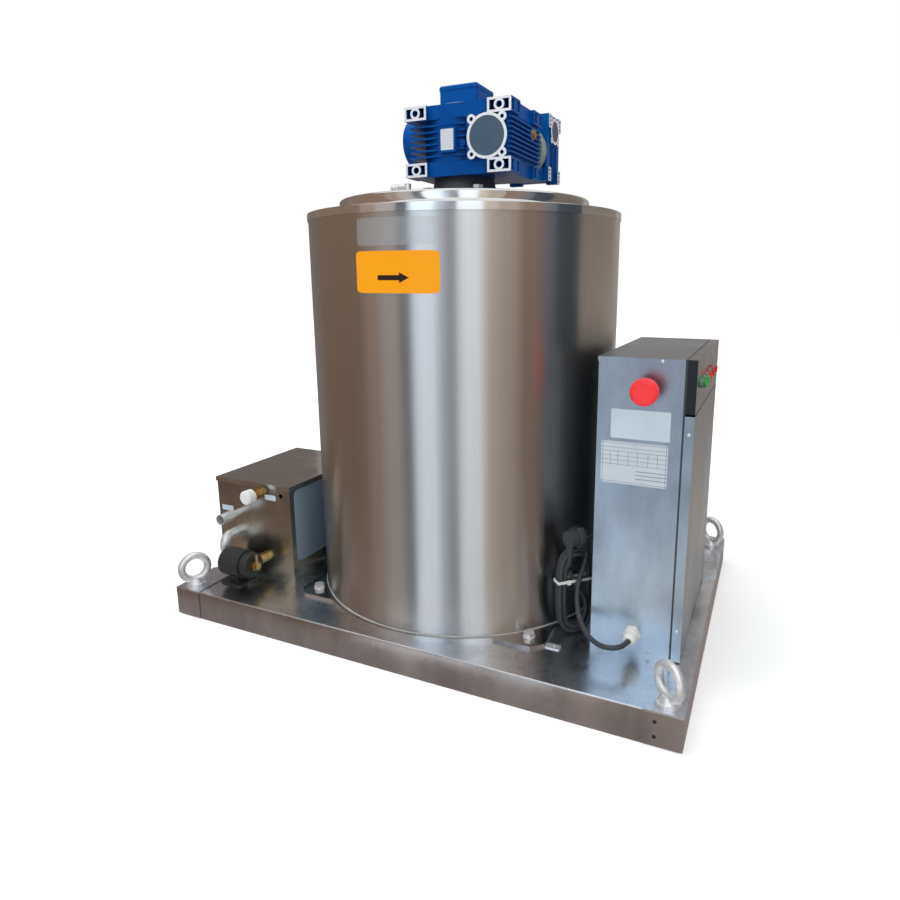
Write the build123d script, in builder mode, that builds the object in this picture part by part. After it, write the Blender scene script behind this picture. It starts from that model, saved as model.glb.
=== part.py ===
from build123d import *
import os
from math import cos, radians, sin, sqrt, tan

# Flake ice machine. A machine bed carries an upright evaporator drum, a water tank on
# its left and a control cabinet on its right. A motor and two worm gearboxes on the
# drum's lid turn a spindle, whose blade scrapes ice off the drum's cold inner wall.
# Frame: origin at the middle of the bed's underside, +Z up, front towards -Y. Millimetres.

os.makedirs("parts", exist_ok=True)

# Fits shared by everything
SLIP = 0.15
RUNNING = 0.05
WEB = 1.0
HOLE_PLAY = 0.5

# Machine bed
BASE_LENGTH = 970.0
BASE_DEPTH = 690.0
BASE_HEIGHT = 55.0
BASE_SHEET = 2.0
BASE_CORNER = 8.0
BASE_BEND = 2.5
BASE_RETURN = 22.0
BEAM_WIDTH = 30.0
BEAM_SHEET = 3.0
BEAM_SPACE = 20.0
BEAM_BOLT_SPACE = 6.0
PATCH_SHEET = 1.5
PATCH_WIDTH = 58.0
PATCH_FRONT = 95.0
PATCH_BACK = 219.0
PATCH_FOOT_GAP = 2.0

# Lifting eye bolts and their nuts
EYE_SIDE_INSET = 26.0
EYE_FRONT_INSET = 24.0
EYE_BACK_INSET = 52.0
EYE_RING = 24.5
EYE_STOCK = 7.0
EYE_COLLAR = 18.0
EYE_COLLAR_HEIGHT = 5.0
EYE_NECK = 9.5
EYE_NECK_HEIGHT = 14.0
EYE_SHANK = 8.0
EYE_SHANK_LENGTH = 30.0
EYE_TURNS = (-44.0, -35.0, 62.0, 20.0)
EYE_NUT_FLATS = 24.0
EYE_NUT_HEIGHT = 13.0

# Drum jacket
DRUM_Y = -22.0
DRUM_RADIUS = 290.0
DRUM_HEIGHT = 702.0
DRUM_SHEET = 2.0
RIM_PROUD = 1.6
RIM_HEIGHT = 13.0
RIM_ROUND = 2.5
TOP_PLATE = 9.0

# Drum foot flange
FLANGE_PLATE = 5.0
FLANGE_LIP = 7.0
FLANGE_EAR = 248.0
FLANGE_EAR_CUT = 18.0
FLANGE_BOLT_INSET = 30.0
FLANGE_BOLT = 5.0
FLANGE_BOLT_FLATS = 17.0
FLANGE_BOLT_HEAD = 6.4
FLANGE_WASHER = 10.5
FLANGE_WASHER_SHEET = 2.0
FLANGE_BOLT_LENGTH = 22.0

# Earth tab beside the right front ear
TAB_LENGTH = 26.0
TAB_WIDTH = 14.0
TAB_SHEET = 2.0
TAB_HOLE = 3.0
TAB_GAP = 1.0

# Evaporator and what lines the drum
EVAPORATOR_BORE = 227.0
EVAPORATOR_WALL = 10.0
EVAPORATOR_FOOT = 228.0
EVAPORATOR_HEIGHT = 472.0
JACKET_GAP = 13.0
JACKET_SHEET = 3.0
JACKET_INSET = 12.0
LINER_STEP = 3.0
LINER_SHEET = 1.5
LINER_FOOT = 6.0

# Gutter under the evaporator and its drain to the tank
GUTTER_WIDTH = 21.0
GUTTER_DEPTH = 28.0
GUTTER_SHEET = 2.0
GUTTER_DROP = 4.0
DRAIN_RADIUS = 11.0
DRAIN_WALL = 1.5
DRAIN_INTO_TANK = 22.0

# Refrigerant stubs at the back
STUB_SUCTION = 14.0
STUB_LIQUID = 6.0
STUB_WALL = 1.2
STUB_SPREAD = 46.0
STUB_SUCTION_DROP = 60.0
STUB_LIQUID_RISE = 30.0
STUB_PROUD = 38.0

# Lid
LID_SHEET = 3.0
LID_RADIUS = 233.0
LID_HEIGHT = 25.0
LID_ROLL = 5.0
LID_BEAD = 3.5
LID_BEAD_PROUD = 6.0

# Water feed pipe through the lid
FEED_TURN = 222.5
FEED_PIPE = 6.0
FEED_WALL = 1.0
FEED_RISE = 26.0
FEED_REACH = 34.0
FEED_BARBS = 3
FEED_NUT_FLATS = 21.0
FEED_NUT_HEIGHT = 6.0

# Spindle and its bearings
SPINDLE_RADIUS = 25.0
JOURNAL_RADIUS = 17.45
SPINDLE_SHOULDER = 5.0
BUSH_WALL = 5.0
HUB_WALL = 5.0
SPIDER_HEIGHT = 36.0
SPIDER_ARM = 14.0
SPIDER_ARMS = 3
SPIDER_RISE = 4.0
UPPER_HUB_RADIUS = 45.0
UPPER_HUB_DEPTH = 52.0
UPPER_FLANGE_RADIUS = 72.0
UPPER_FLANGE_PLATE = 9.0

# Ice scraper that turns inside the evaporator
BLADE_GAP = 0.6
BLADE_TURN = -50.0
BLADE_END_GAP = 14.0
BLADE_BACK_WIDTH = 34.0
BLADE_BACK_THICK = 12.0
BLADE_TOOTH = 9.0
BLADE_TOOTH_PITCH = 21.0
BLADE_TOOTH_THICK = 4.0
BLADE_TOOTH_LEAN = 32.0
BLADE_TOOTH_TAPER = 6.0
CARRIER_HUB = 40.0
CARRIER_HUB_HEIGHT = 44.0
CARRIER_ARM_WIDTH = 26.0
CARRIER_ARM_HEIGHT = 30.0
CARRIER_POST_WIDTH = 40.0
CARRIER_POST_THICK = 16.0
PAN_INNER = 62.0
PAN_OUTER = 152.0
PAN_DEPTH = 22.0
PAN_SHEET = 2.0
PAN_FLOOR_RISE = 4.0
SPOUT_COUNT = 9
SPOUT_RADIUS = 5.0
SPOUT_BORE = 3.5
SPOUT_LEAN = 12.0
SPOUT_END_GAP = 8.0
SQUEEGEE_TURN = 42.0
SQUEEGEE_THICK = 6.0
SQUEEGEE_WIDTH = 30.0
SQUEEGEE_ARM = 14.0

# Gearbox seat on the lid
MOUNT_PLATE_RADIUS = 92.0
MOUNT_PLATE = 8.0
MOUNT_BORE = 40.0
OUTPUT_FLANGE_RADIUS = 82.0
OUTPUT_FLANGE_PLATE = 11.0
OUTPUT_FLANGE_NECK = 61.0
OUTPUT_FLANGE_RISE = 33.0
MOUNT_BOLTS = 4
MOUNT_BOLT_CIRCLE = 72.0
MOUNT_BOLT = 5.0
MOUNT_BOLT_FLATS = 17.0
MOUNT_BOLT_HEAD = 6.4
MOUNT_BOLT_LENGTH = 18.0

# Main worm gearbox: output axis upright, worm axis towards the front
MAIN_LEFT = 81.0
MAIN_CENTRES = 80.0
MAIN_RIGHT = 45.0
MAIN_DEPTH = 158.0
MAIN_HEIGHT = 120.0
MAIN_CASE = 72.0
MAIN_RING = 37.5
MAIN_CAP = 32.5
MAIN_EAR = 8.0
MAIN_EAR_HOLE = 3.4
MAIN_EAR_CIRCLE = 40.5
MAIN_PAD_LENGTH = 44.0
MAIN_PAD_HEIGHT = 24.0
MAIN_WALL = 4.0
MAIN_RIB = 2.6
MAIN_RIB_DEPTH = 8.0
MAIN_BOSS = 9.5
MAIN_BOSS_HOLE = 5.5
MAIN_LEVEL_BOSS = 6.5
MAIN_FINS = 6
MAIN_RIBS = 8
MAIN_BORE = 30.0
SLEEVE_BORE = 17.5
SLEEVE_PROUD = 3.0
COVER_RADIUS = 52.0
COVER_HEIGHT = 9.0
CAP_RECESS = 3.0
OIL_PLUG_FLATS = 14.0
OIL_PLUG_HEAD = 5.0
OIL_PLUG_SEAT = 9.0
OIL_PLUG_WASHER = 1.5
OIL_PLUG_BOSS = 11.0
OIL_PLUG_BACK = 28.0
OIL_PLUG_RISE = 16.0
DRIVE_KEY_WIDTH = 10.0
DRIVE_KEY_HEIGHT = 8.0
DRIVE_KEY_LENGTH = 70.0

# First worm gearbox: output axis towards the front, worm axis to the left
COUPLING_LENGTH = 22.0
COUPLING_RADIUS = 48.0
FIRST_LEFT = 54.0
FIRST_CENTRES = 40.0
FIRST_RIGHT = 28.0
FIRST_DEPTH = 104.0
FIRST_HEIGHT = 72.0
FIRST_CASE = 37.0
FIRST_RING = 24.0
FIRST_CAP = 19.0
FIRST_EAR = 5.5
FIRST_EAR_HOLE = 2.5
FIRST_EAR_CIRCLE = 26.0
FIRST_PAD_LENGTH = 25.0
FIRST_PAD_HEIGHT = 15.0
FIRST_WALL = 3.0
FIRST_RIB = 2.0
FIRST_RIB_DEPTH = 5.0
FIRST_BOSS = 6.0
FIRST_BOSS_HOLE = 3.3
FIRST_LEVEL_BOSS = 4.0
FIRST_FINS = 3
FIRST_RIBS = 5
FIRST_BORE = 10.0

# Motor
MOTOR_FLANGE = 45.0
MOTOR_FLANGE_PLATE = 8.0
MOTOR_NECK = 9.0
MOTOR_CORE = 44.0
MOTOR_FIN_TIP = 50.0
MOTOR_FIN = 2.6
MOTOR_FINS = 24
MOTOR_BODY = 138.0
COWL_RADIUS = 51.5
COWL_LENGTH = 60.0
COWL_ROUND = 9.0
COWL_SLOTS = 12
COWL_SLOT = 4.0
COWL_SLOT_DEPTH = 5.0
COWL_SLOT_CIRCLE = 28.0
COWL_SLOT_LENGTH = 26.0
TERMINAL_SIZE = 84.0
TERMINAL_HEIGHT = 40.0
TERMINAL_LID = 9.0
TERMINAL_LIP = 2.0
TERMINAL_ROUND = 6.0
TERMINAL_OFFSET = 70.0
TERMINAL_NECK = 56.0

# Tank on the left, with a cut corner that clears the drum
TANK_GAP = 6.0
TANK_WIDTH = 187.0
TANK_DEPTH = 248.0
TANK_HEIGHT = 197.5
TANK_SHEET = 1.5
TANK_CUT_ACROSS = 56.0
TANK_CUT_BACK = 126.0
TANK_FRONT = 212.0
TANK_LID_OVERHANG = 2.0
TANK_LID_LIP = 7.0
TANK_LID_PLAY = 0.4

# Fittings on the tank's front
INLET_IN = 78.0
INLET_DROP = 19.5
INLET_THREAD = 7.0
INLET_WASHER = 12.0
INLET_WASHER_SHEET = 2.5
INLET_HEX = 19.0
INLET_HEX_LENGTH = 9.0
INLET_NOSE = 8.0
INLET_NOSE_REACH = 31.0
INLET_NUT = 5.0
INLET_CAP = 14.0
INLET_CAP_LENGTH = 17.0
INLET_CAP_START = 21.0
SPARE_HOLE_IN = 22.0
SPARE_HOLE_RADIUS = 4.5
OVERFLOW_IN = 131.0
OVERFLOW_HEIGHT = 131.0
OVERFLOW_PIPE = 7.0
OVERFLOW_SOCKET = 10.5
OVERFLOW_WALL = 1.2
OVERFLOW_NARROW = 24.0
OVERFLOW_WIDE = 30.0
OVERFLOW_INSIDE = 20.0
ELBOW_IN = 148.0
ELBOW_HEIGHT = 84.0
ELBOW_PIPE = 10.0
ELBOW_REACH = 14.0
ELBOW_BEND = 16.0
ELBOW_DROP = 28.0
ELBOW_WALL = 1.5

# Circulating pump in front of the tank
PUMP_IN = 110.0
PUMP_FORWARD = 40.0
PUMP_RADIUS = 28.0
PUMP_LENGTH = 52.0
PUMP_HEIGHT = 41.0
VOLUTE_RADIUS = 25.0
VOLUTE_LENGTH = 18.0
PUMP_FOOT = 3.0
PUMP_FOOT_WIDTH = 44.0
PUMP_POST = 22.0
PUMP_PORT = 7.0
PUMP_COVER = 5.0
UNION_FLATS = 17.0
UNION_LENGTH = 12.0
BLEED_PIPE = 3.0
BLEED_LENGTH = 16.0

# Float valve inside the tank
FLOAT_ARM = 2.5
FLOAT_ARM_LENGTH = 92.0
FLOAT_RADIUS = 24.0
FLOAT_DROP = 20.0
FLOAT_PIVOT_IN = 34.0
FLOAT_EAR = 3.0
FLOAT_PIN = 2.0
FLOAT_HUB = 5.0
FLOAT_HUB_WIDTH = 8.0
FLOAT_BODY = 9.0

# Cabinet on the right
CABINET_GAP = 26.0
CABINET_WIDTH = 127.0
CABINET_DEPTH = 338.0
CABINET_HEIGHT = 480.5
CABINET_FRONT = 192.0
CABINET_SHEET = 1.5
CABINET_RETURN = 14.0
CABINET_TOP_LIP = 7.0
CABINET_OVERHANG = 1.2
CABINET_RAIL = 24.0
GASKET = 3.0
GASKET_WIDTH = 10.0
PANEL_DEPTH = 14.0
PANEL_HEIGHT = 81.0
PANEL_GAP = 2.0
PANEL_SILL = 2.0

# Indicator lamps, places along the depth from the cabinet's front
LAMP_RADIUS = 6.5
LAMP_HEIGHT = 8.0
LAMP_BEZEL = 8.0
LAMP_BEZEL_HEIGHT = 2.0
LAMP_STEM = 5.0
LAMP_STEM_LENGTH = 26.0
LAMP_PLACES = (66.0, 109.0, 146.0, 194.0, 240.0)
LAMP_DROP = 42.5

# Emergency stop on the cabinet's front
ESTOP_IN = 76.0
ESTOP_DROP = 45.0
ESTOP_COLLAR = 15.0
ESTOP_COLLAR_HEIGHT = 7.0
ESTOP_BARREL = 11.0
ESTOP_BARREL_DEPTH = 22.0
ESTOP_BLOCK = 32.0
ESTOP_BLOCK_DEPTH = 42.0
ESTOP_STEM = 6.5
ESTOP_STEM_INSIDE = 30.0
ESTOP_HEAD = 20.0
ESTOP_NECK = 10.0
ESTOP_HEAD_GAP = 15.0
ESTOP_HEAD_HEIGHT = 24.0
ESTOP_HUB = 11.0
ESTOP_ARROW = 1.0
ESTOP_ARROW_TIP = 2.6
ESTOP_ARROW_TURN = 42.0
ESTOP_CROWN = 5.0
ESTOP_TRAVEL = 5.0

# Cord gland, cord and hank
GLAND_IN = 68.0
GLAND_HEIGHT = 37.0
GLAND_FLATS = 24.0
GLAND_HEX = 8.0
GLAND_DOME = 20.0
GLAND_THREAD = 8.0
GLAND_DOME_RADIUS = 10.0
GLAND_INSIDE = 12.0
GLAND_NUT = 5.0
CORD_RADIUS = 4.0
CORD_SHARE = 0.45
CORD_ROUTE = [
    (384.0, -226.0, 92.0),
    (384.0, -258.0, 92.0),
    (356.0, -275.0, 91.0),
    (328.0, -262.0, 93.0),
    (306.0, -240.0, 104.0),
    (293.0, -219.0, 124.0),
    (288.0, -201.0, 150.0),
    (295.0, -189.0, 178.0),
    (301.0, -172.0, 196.0),
]
HANK_CENTRE = (281.0, -186.0)
HANK_HEADING = 44.0
HANK_OUTER = 36.0
HANK_INNER = 20.0
HANK_HEIGHT = 158.0
HANK_THICK = 16.4
HANK_FLOOR_GAP = 0.3
TIE_HEIGHT = 99.0
TIE_BAND = 4.6
TIE_SHEET = 1.2
TIE_PLAY = 0.2
TIE_HEAD = 7.0

# Plug on the cord's end
PLUG_CENTRE = (281.0, -200.0, 232.0)
PLUG_HEADING = 55.0
PLUG_RADIUS = 18.0
PLUG_FACE = 14.0
PLUG_GRIP = 14.0
PLUG_PIN = 2.4
PLUG_PIN_LENGTH = 19.0
PLUG_PIN_SPREAD = 19.0
PLUG_EARTH_WIDTH = 7.0
PLUG_NECK_TOP = 7.5
PLUG_NECK_END = 4.6
PLUG_GRIP_RADIUS = 14.0
PLUG_EARTH_DEPTH = 3.0
PLUG_ROUND = 3.0
PLUG_NECK_FOOT = (272.0, -200.0, 181.0)

# Cabinet's inner parts
CHASSIS_SHEET = 2.0
CHASSIS_STANDOFF = 6.0
CHASSIS_MARGIN = 26.0
RAIL_WIDTH = 35.0
RAIL_DEPTH = 7.5
RAIL_SHEET = 1.0
RAIL_HEIGHTS = (330.0, 200.0, 90.0)
CONTACTOR = (45.0, 75.0, 68.0)
BREAKER = (18.0, 82.0, 56.0)
CONTROLLER = (140.0, 84.0, 52.0)
CLAMP_BLOCK = (6.2, 44.0, 40.0)
CLAMP_BLOCKS = 14
CONTACTORS = 3
BREAKERS = 4
STANDOFF_RADIUS = 5.0
PART_SPACE = 6.0
SHOULDER_SHARE = 0.65
NOSE_SHARE = 0.55

# Levels that several sub-parts share
PATCH_TOP = BASE_HEIGHT + PATCH_SHEET
FLANGE_TOP = BASE_HEIGHT + FLANGE_PLATE
DRUM_TOP = BASE_HEIGHT + DRUM_HEIGHT
CAP_TOP = DRUM_TOP + TOP_PLATE
LID_TOP = CAP_TOP + LID_HEIGHT
MOUNT_TOP = LID_TOP + MOUNT_PLATE
GEARBOX_FOOT = MOUNT_TOP + OUTPUT_FLANGE_RISE
GEARBOX_MIDDLE = GEARBOX_FOOT + MAIN_HEIGHT / 2
GEARBOX_TOP = GEARBOX_FOOT + MAIN_HEIGHT
EVAPORATOR_TOP = EVAPORATOR_FOOT + EVAPORATOR_HEIGHT
EVAPORATOR_OUTER = EVAPORATOR_BORE + EVAPORATOR_WALL
JACKET_BORE = EVAPORATOR_OUTER + JACKET_GAP
JACKET_OUTER = JACKET_BORE + JACKET_SHEET
JACKET_FOOT = EVAPORATOR_FOOT + JACKET_INSET
JACKET_TOP = EVAPORATOR_TOP - JACKET_INSET
LINER_BORE = EVAPORATOR_BORE + LINER_STEP
LINER_OUTER = LINER_BORE + LINER_SHEET
GUTTER_TOP = EVAPORATOR_FOOT - GUTTER_DROP
GUTTER_OUTER = LINER_BORE - SLIP
GUTTER_INNER = GUTTER_OUTER - GUTTER_WIDTH
GUTTER_FOOT = GUTTER_TOP - GUTTER_DEPTH
DRAIN_LEVEL = GUTTER_FOOT + GUTTER_SHEET + DRAIN_RADIUS

DRUM_AXIS = Axis((0, DRUM_Y, 0), (0, 0, 1))
DRUM_SECTION = Plane((0, DRUM_Y, 0), x_dir=(1, 0, 0), z_dir=(0, -1, 0))


def level(z):
    """Horizontal plane at height z."""
    return Plane.XY.offset(z)


def facing_front(y):
    """Upright plane at depth y that looks towards the front; its own x and y are X and Z."""
    return Plane.XZ.offset(-y)


def facing_right(x):
    """Upright plane at x that looks to the right; its own x and y are Y and Z."""
    return Plane.YZ.offset(x)


def drum_outline(points):
    """Closed (radius, height) outline in the plane through the drum's axis."""
    with BuildSketch(DRUM_SECTION) as outline:
        with BuildLine():
            Polyline(*points, close=True)
        make_face()
    return outline.sketch


def rectangle_outline(low_radius, high_radius, low, high):
    """Outline of a plain ring about the drum's axis."""
    return drum_outline(
        [(low_radius, low), (high_radius, low), (high_radius, high), (low_radius, high)]
    )


def disc(plane, centre, radius):
    """Round face on a plane."""
    with BuildSketch(plane) as face:
        with Locations(centre):
            Circle(radius)
    return face.sketch


def hexagon(plane, centre, flats):
    """Hexagonal face on a plane, measured across its flats."""
    with BuildSketch(plane) as face:
        with Locations(centre):
            RegularPolygon(flats / 2, 6, major_radius=False)
    return face.sketch


def on_drum(angle, radius):
    """Plan position at an angle and radius from the drum's axis."""
    return (radius * cos(radians(angle)), DRUM_Y + radius * sin(radians(angle)))


def save(builder, name):
    """Labels a finished sub-part and writes it to its own file."""
    builder.part.label = name
    export_step(builder.part, f"parts/{name}.step")


# Places of the lifting eyes and of the foot flange's bolts
EYE_X = BASE_LENGTH / 2 - EYE_SIDE_INSET
EYE_FRONT_Y = -BASE_DEPTH / 2 + EYE_FRONT_INSET
EYE_BACK_Y = BASE_DEPTH / 2 - EYE_BACK_INSET
EYE_PLACES = [(EYE_X, EYE_FRONT_Y), (EYE_X, EYE_BACK_Y), (-EYE_X, EYE_FRONT_Y), (-EYE_X, EYE_BACK_Y)]
FLANGE_BOLT_REACH = FLANGE_EAR - FLANGE_BOLT_INSET
FLANGE_BOLT_PLACES = [
    (side * FLANGE_BOLT_REACH, DRUM_Y + end * FLANGE_BOLT_REACH)
    for side in (-1, 1)
    for end in (-1, 1)
]

# Machine bed: one folded stainless sheet with a return lip all round its foot
with BuildPart() as base_tray:
    with BuildSketch():
        RectangleRounded(BASE_LENGTH, BASE_DEPTH, BASE_CORNER)
    extrude(amount=BASE_HEIGHT)
    fillet(base_tray.faces().sort_by(Axis.Z)[-1].edges(), BASE_BEND)
    with BuildSketch():
        RectangleRounded(
            BASE_LENGTH - 2 * BASE_SHEET, BASE_DEPTH - 2 * BASE_SHEET, BASE_CORNER - BASE_SHEET
        )
    extrude(amount=BASE_HEIGHT - BASE_SHEET, mode=Mode.SUBTRACT)
    with BuildSketch():
        RectangleRounded(BASE_LENGTH - BASE_SHEET, BASE_DEPTH - BASE_SHEET, BASE_CORNER - BASE_SHEET / 2)
        Rectangle(BASE_LENGTH - 2 * BASE_RETURN, BASE_DEPTH - 2 * BASE_RETURN, mode=Mode.SUBTRACT)
    extrude(amount=BASE_SHEET)
    with BuildSketch(level(BASE_HEIGHT)):
        with Locations((0, DRUM_Y)):
            Circle(LINER_OUTER + HOLE_PLAY)
        with Locations(*EYE_PLACES):
            Circle(EYE_SHANK + HOLE_PLAY)
        with Locations(*FLANGE_BOLT_PLACES):
            Circle(FLANGE_BOLT + HOLE_PLAY)
    extrude(amount=-BASE_HEIGHT / 2, mode=Mode.SUBTRACT)
save(base_tray, "base_tray")

# Two channels under the bed, one each side of the ice outlet
# The beams stand clear of the liner and of the flange's bolts, whichever reaches further out
BEAM_INSIDE = max(LINER_OUTER + BEAM_SPACE, FLANGE_BOLT_REACH + FLANGE_BOLT + BEAM_BOLT_SPACE)
BEAM_X = BEAM_INSIDE + BEAM_WIDTH / 2
BEAM_HEIGHT = BASE_HEIGHT - 2 * BASE_SHEET
with BuildPart() as base_crossbeams:
    with BuildSketch(facing_front(-BASE_DEPTH / 2 + BASE_SHEET)):
        with Locations((-BEAM_X, BASE_HEIGHT / 2), (BEAM_X, BASE_HEIGHT / 2)):
            Rectangle(BEAM_WIDTH, BEAM_HEIGHT)
        with Locations((-BEAM_X - BEAM_SHEET, BASE_HEIGHT / 2), (BEAM_X + BEAM_SHEET, BASE_HEIGHT / 2)):
            Rectangle(BEAM_WIDTH, BEAM_HEIGHT - 2 * BEAM_SHEET, mode=Mode.SUBTRACT)
    extrude(amount=-(BASE_DEPTH - 2 * BASE_SHEET))
save(base_crossbeams, "base_crossbeams")


def corner_patch(side, end, reach):
    """Folded plate over one corner of the bed: a leg on top and a leg down the skirt."""
    edge = end * BASE_DEPTH / 2
    outer = edge + end * PATCH_SHEET
    inner = edge - end * reach
    with BuildSketch(facing_right(side * (BASE_LENGTH / 2 - PATCH_WIDTH))) as profile:
        with BuildLine():
            Polyline(
                (inner, BASE_HEIGHT),
                (inner, PATCH_TOP),
                (outer, PATCH_TOP),
                (outer, PATCH_FOOT_GAP),
                (edge, PATCH_FOOT_GAP),
                (edge, BASE_HEIGHT),
                close=True,
            )
        make_face()
    return profile.sketch


with BuildPart() as corner_plates:
    for plate_side in (-1, 1):
        extrude(corner_patch(plate_side, -1, PATCH_FRONT), amount=plate_side * PATCH_WIDTH)
        extrude(corner_patch(plate_side, 1, PATCH_BACK), amount=plate_side * PATCH_WIDTH)
    with BuildSketch(level(PATCH_TOP)):
        with Locations(*EYE_PLACES):
            Circle(EYE_SHANK + HOLE_PLAY)
    extrude(amount=-PATCH_SHEET, mode=Mode.SUBTRACT)
save(corner_plates, "corner_plates")

# Forged eye bolts: ring, flared neck, round collar and shank, with a nut under the bed
EYE_MIDDLE = EYE_NECK_HEIGHT + EYE_RING - EYE_STOCK / 2
with BuildPart() as lifting_eyes:
    for (eye_x, eye_y), turn in zip(EYE_PLACES, EYE_TURNS):
        with Locations(Location((eye_x, eye_y, PATCH_TOP), (0, 0, turn))):
            Cylinder(EYE_COLLAR, EYE_COLLAR_HEIGHT, align=(Align.CENTER, Align.CENTER, Align.MIN))
            Cylinder(EYE_SHANK, EYE_SHANK_LENGTH, align=(Align.CENTER, Align.CENTER, Align.MAX))
            with Locations((0, 0, EYE_COLLAR_HEIGHT)):
                Cone(
                    EYE_COLLAR - EYE_COLLAR_HEIGHT / 2,
                    EYE_NECK,
                    EYE_NECK_HEIGHT - EYE_COLLAR_HEIGHT,
                    align=(Align.CENTER, Align.CENTER, Align.MIN),
                )
            with Locations((0, 0, EYE_MIDDLE)):
                Torus(EYE_RING, EYE_STOCK, rotation=(90, 0, 0))
    for place in EYE_PLACES:
        extrude(hexagon(level(BASE_HEIGHT - BASE_SHEET), place, EYE_NUT_FLATS), amount=-EYE_NUT_HEIGHT)
save(lifting_eyes, "lifting_eyes")

# Foot flange: a round plate with four ears that are bolted to the bed
with BuildPart() as drum_flange:
    with BuildSketch(level(BASE_HEIGHT)):
        with Locations((0, DRUM_Y)):
            ears = Rectangle(2 * FLANGE_EAR, 2 * FLANGE_EAR)
            chamfer(ears.vertices(), FLANGE_EAR_CUT)
            Circle(DRUM_RADIUS + FLANGE_LIP)
            Circle(LINER_OUTER + SLIP, mode=Mode.SUBTRACT)
        with Locations(*FLANGE_BOLT_PLACES):
            Circle(FLANGE_BOLT + HOLE_PLAY, mode=Mode.SUBTRACT)
    extrude(amount=FLANGE_PLATE)
save(drum_flange, "drum_flange")

TAB_X = FLANGE_EAR + TAB_GAP + TAB_LENGTH / 2
TAB_Y = DRUM_Y - FLANGE_BOLT_REACH - TAB_WIDTH / 2
with BuildPart() as earth_tab:
    with BuildSketch(level(BASE_HEIGHT)):
        with Locations((TAB_X, TAB_Y)):
            RectangleRounded(TAB_LENGTH, TAB_WIDTH, TAB_HOLE)
            with Locations((TAB_HOLE, 0)):
                Circle(TAB_HOLE, mode=Mode.SUBTRACT)
    extrude(amount=TAB_SHEET)
save(earth_tab, "earth_tab")

# Outer jacket, with round holes for the drain and the refrigerant stubs
STUB_SUCTION_LEVEL = JACKET_TOP - STUB_SUCTION_DROP
STUB_LIQUID_LEVEL = JACKET_FOOT + STUB_LIQUID_RISE
with BuildPart() as drum_shell:
    revolve(rectangle_outline(DRUM_RADIUS - DRUM_SHEET, DRUM_RADIUS, FLANGE_TOP, DRUM_TOP), axis=DRUM_AXIS)
    extrude(
        disc(facing_right(0), (DRUM_Y, DRAIN_LEVEL), DRAIN_RADIUS + SLIP),
        amount=-2 * DRUM_RADIUS,
        mode=Mode.SUBTRACT,
    )
    extrude(
        disc(facing_front(DRUM_Y), (-STUB_SPREAD, STUB_SUCTION_LEVEL), STUB_SUCTION + SLIP),
        amount=-2 * DRUM_RADIUS,
        mode=Mode.SUBTRACT,
    )
    extrude(
        disc(facing_front(DRUM_Y), (STUB_SPREAD, STUB_LIQUID_LEVEL), STUB_LIQUID + SLIP),
        amount=-2 * DRUM_RADIUS,
        mode=Mode.SUBTRACT,
    )
save(drum_shell, "drum_shell")

# Top ring: closes the insulated wall, folds down over the jacket and stands on the evaporator
with BuildPart() as drum_top_ring:
    revolve(
        drum_outline(
            [
                (EVAPORATOR_OUTER - LID_SHEET, EVAPORATOR_TOP),
                (EVAPORATOR_OUTER, EVAPORATOR_TOP),
                (EVAPORATOR_OUTER, CAP_TOP - LID_SHEET),
                (DRUM_RADIUS + SLIP, CAP_TOP - LID_SHEET),
                (DRUM_RADIUS + SLIP, CAP_TOP - RIM_HEIGHT),
                (DRUM_RADIUS + RIM_PROUD, CAP_TOP - RIM_HEIGHT),
                (DRUM_RADIUS + RIM_PROUD, CAP_TOP),
                (EVAPORATOR_BORE, CAP_TOP),
                (EVAPORATOR_BORE, CAP_TOP - LID_SHEET),
                (EVAPORATOR_OUTER - LID_SHEET, CAP_TOP - LID_SHEET),
            ]
        ),
        axis=DRUM_AXIS,
    )
    fillet(drum_top_ring.edges().filter_by(GeomType.CIRCLE).group_by(Axis.Z)[-1].sort_by(SortBy.LENGTH)[-1],
           RIM_ROUND / 2)
save(drum_top_ring, "drum_top_ring")

# Foam between the jacket and the evaporator, stepped around both
with BuildPart() as drum_insulation:
    revolve(
        drum_outline(
            [
                (LINER_OUTER + SLIP, FLANGE_TOP),
                (DRUM_RADIUS - DRUM_SHEET - SLIP, FLANGE_TOP),
                (DRUM_RADIUS - DRUM_SHEET - SLIP, CAP_TOP - LID_SHEET),
                (EVAPORATOR_OUTER + SLIP, CAP_TOP - LID_SHEET),
                (EVAPORATOR_OUTER + SLIP, JACKET_TOP + SLIP),
                (JACKET_OUTER + SLIP, JACKET_TOP + SLIP),
                (JACKET_OUTER + SLIP, JACKET_FOOT - SLIP),
                (EVAPORATOR_OUTER + SLIP, JACKET_FOOT - SLIP),
                (EVAPORATOR_OUTER + SLIP, EVAPORATOR_FOOT - SLIP),
                (LINER_OUTER + SLIP, EVAPORATOR_FOOT - SLIP),
            ]
        ),
        axis=DRUM_AXIS,
    )
    extrude(
        disc(facing_right(0), (DRUM_Y, DRAIN_LEVEL), DRAIN_RADIUS + SLIP),
        amount=-2 * DRUM_RADIUS,
        mode=Mode.SUBTRACT,
    )
    extrude(
        disc(facing_front(DRUM_Y), (-STUB_SPREAD, STUB_SUCTION_LEVEL), STUB_SUCTION + SLIP),
        amount=-2 * DRUM_RADIUS,
        mode=Mode.SUBTRACT,
    )
    extrude(
        disc(facing_front(DRUM_Y), (STUB_SPREAD, STUB_LIQUID_LEVEL), STUB_LIQUID + SLIP),
        amount=-2 * DRUM_RADIUS,
        mode=Mode.SUBTRACT,
    )
save(drum_insulation, "drum_insulation")

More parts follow.
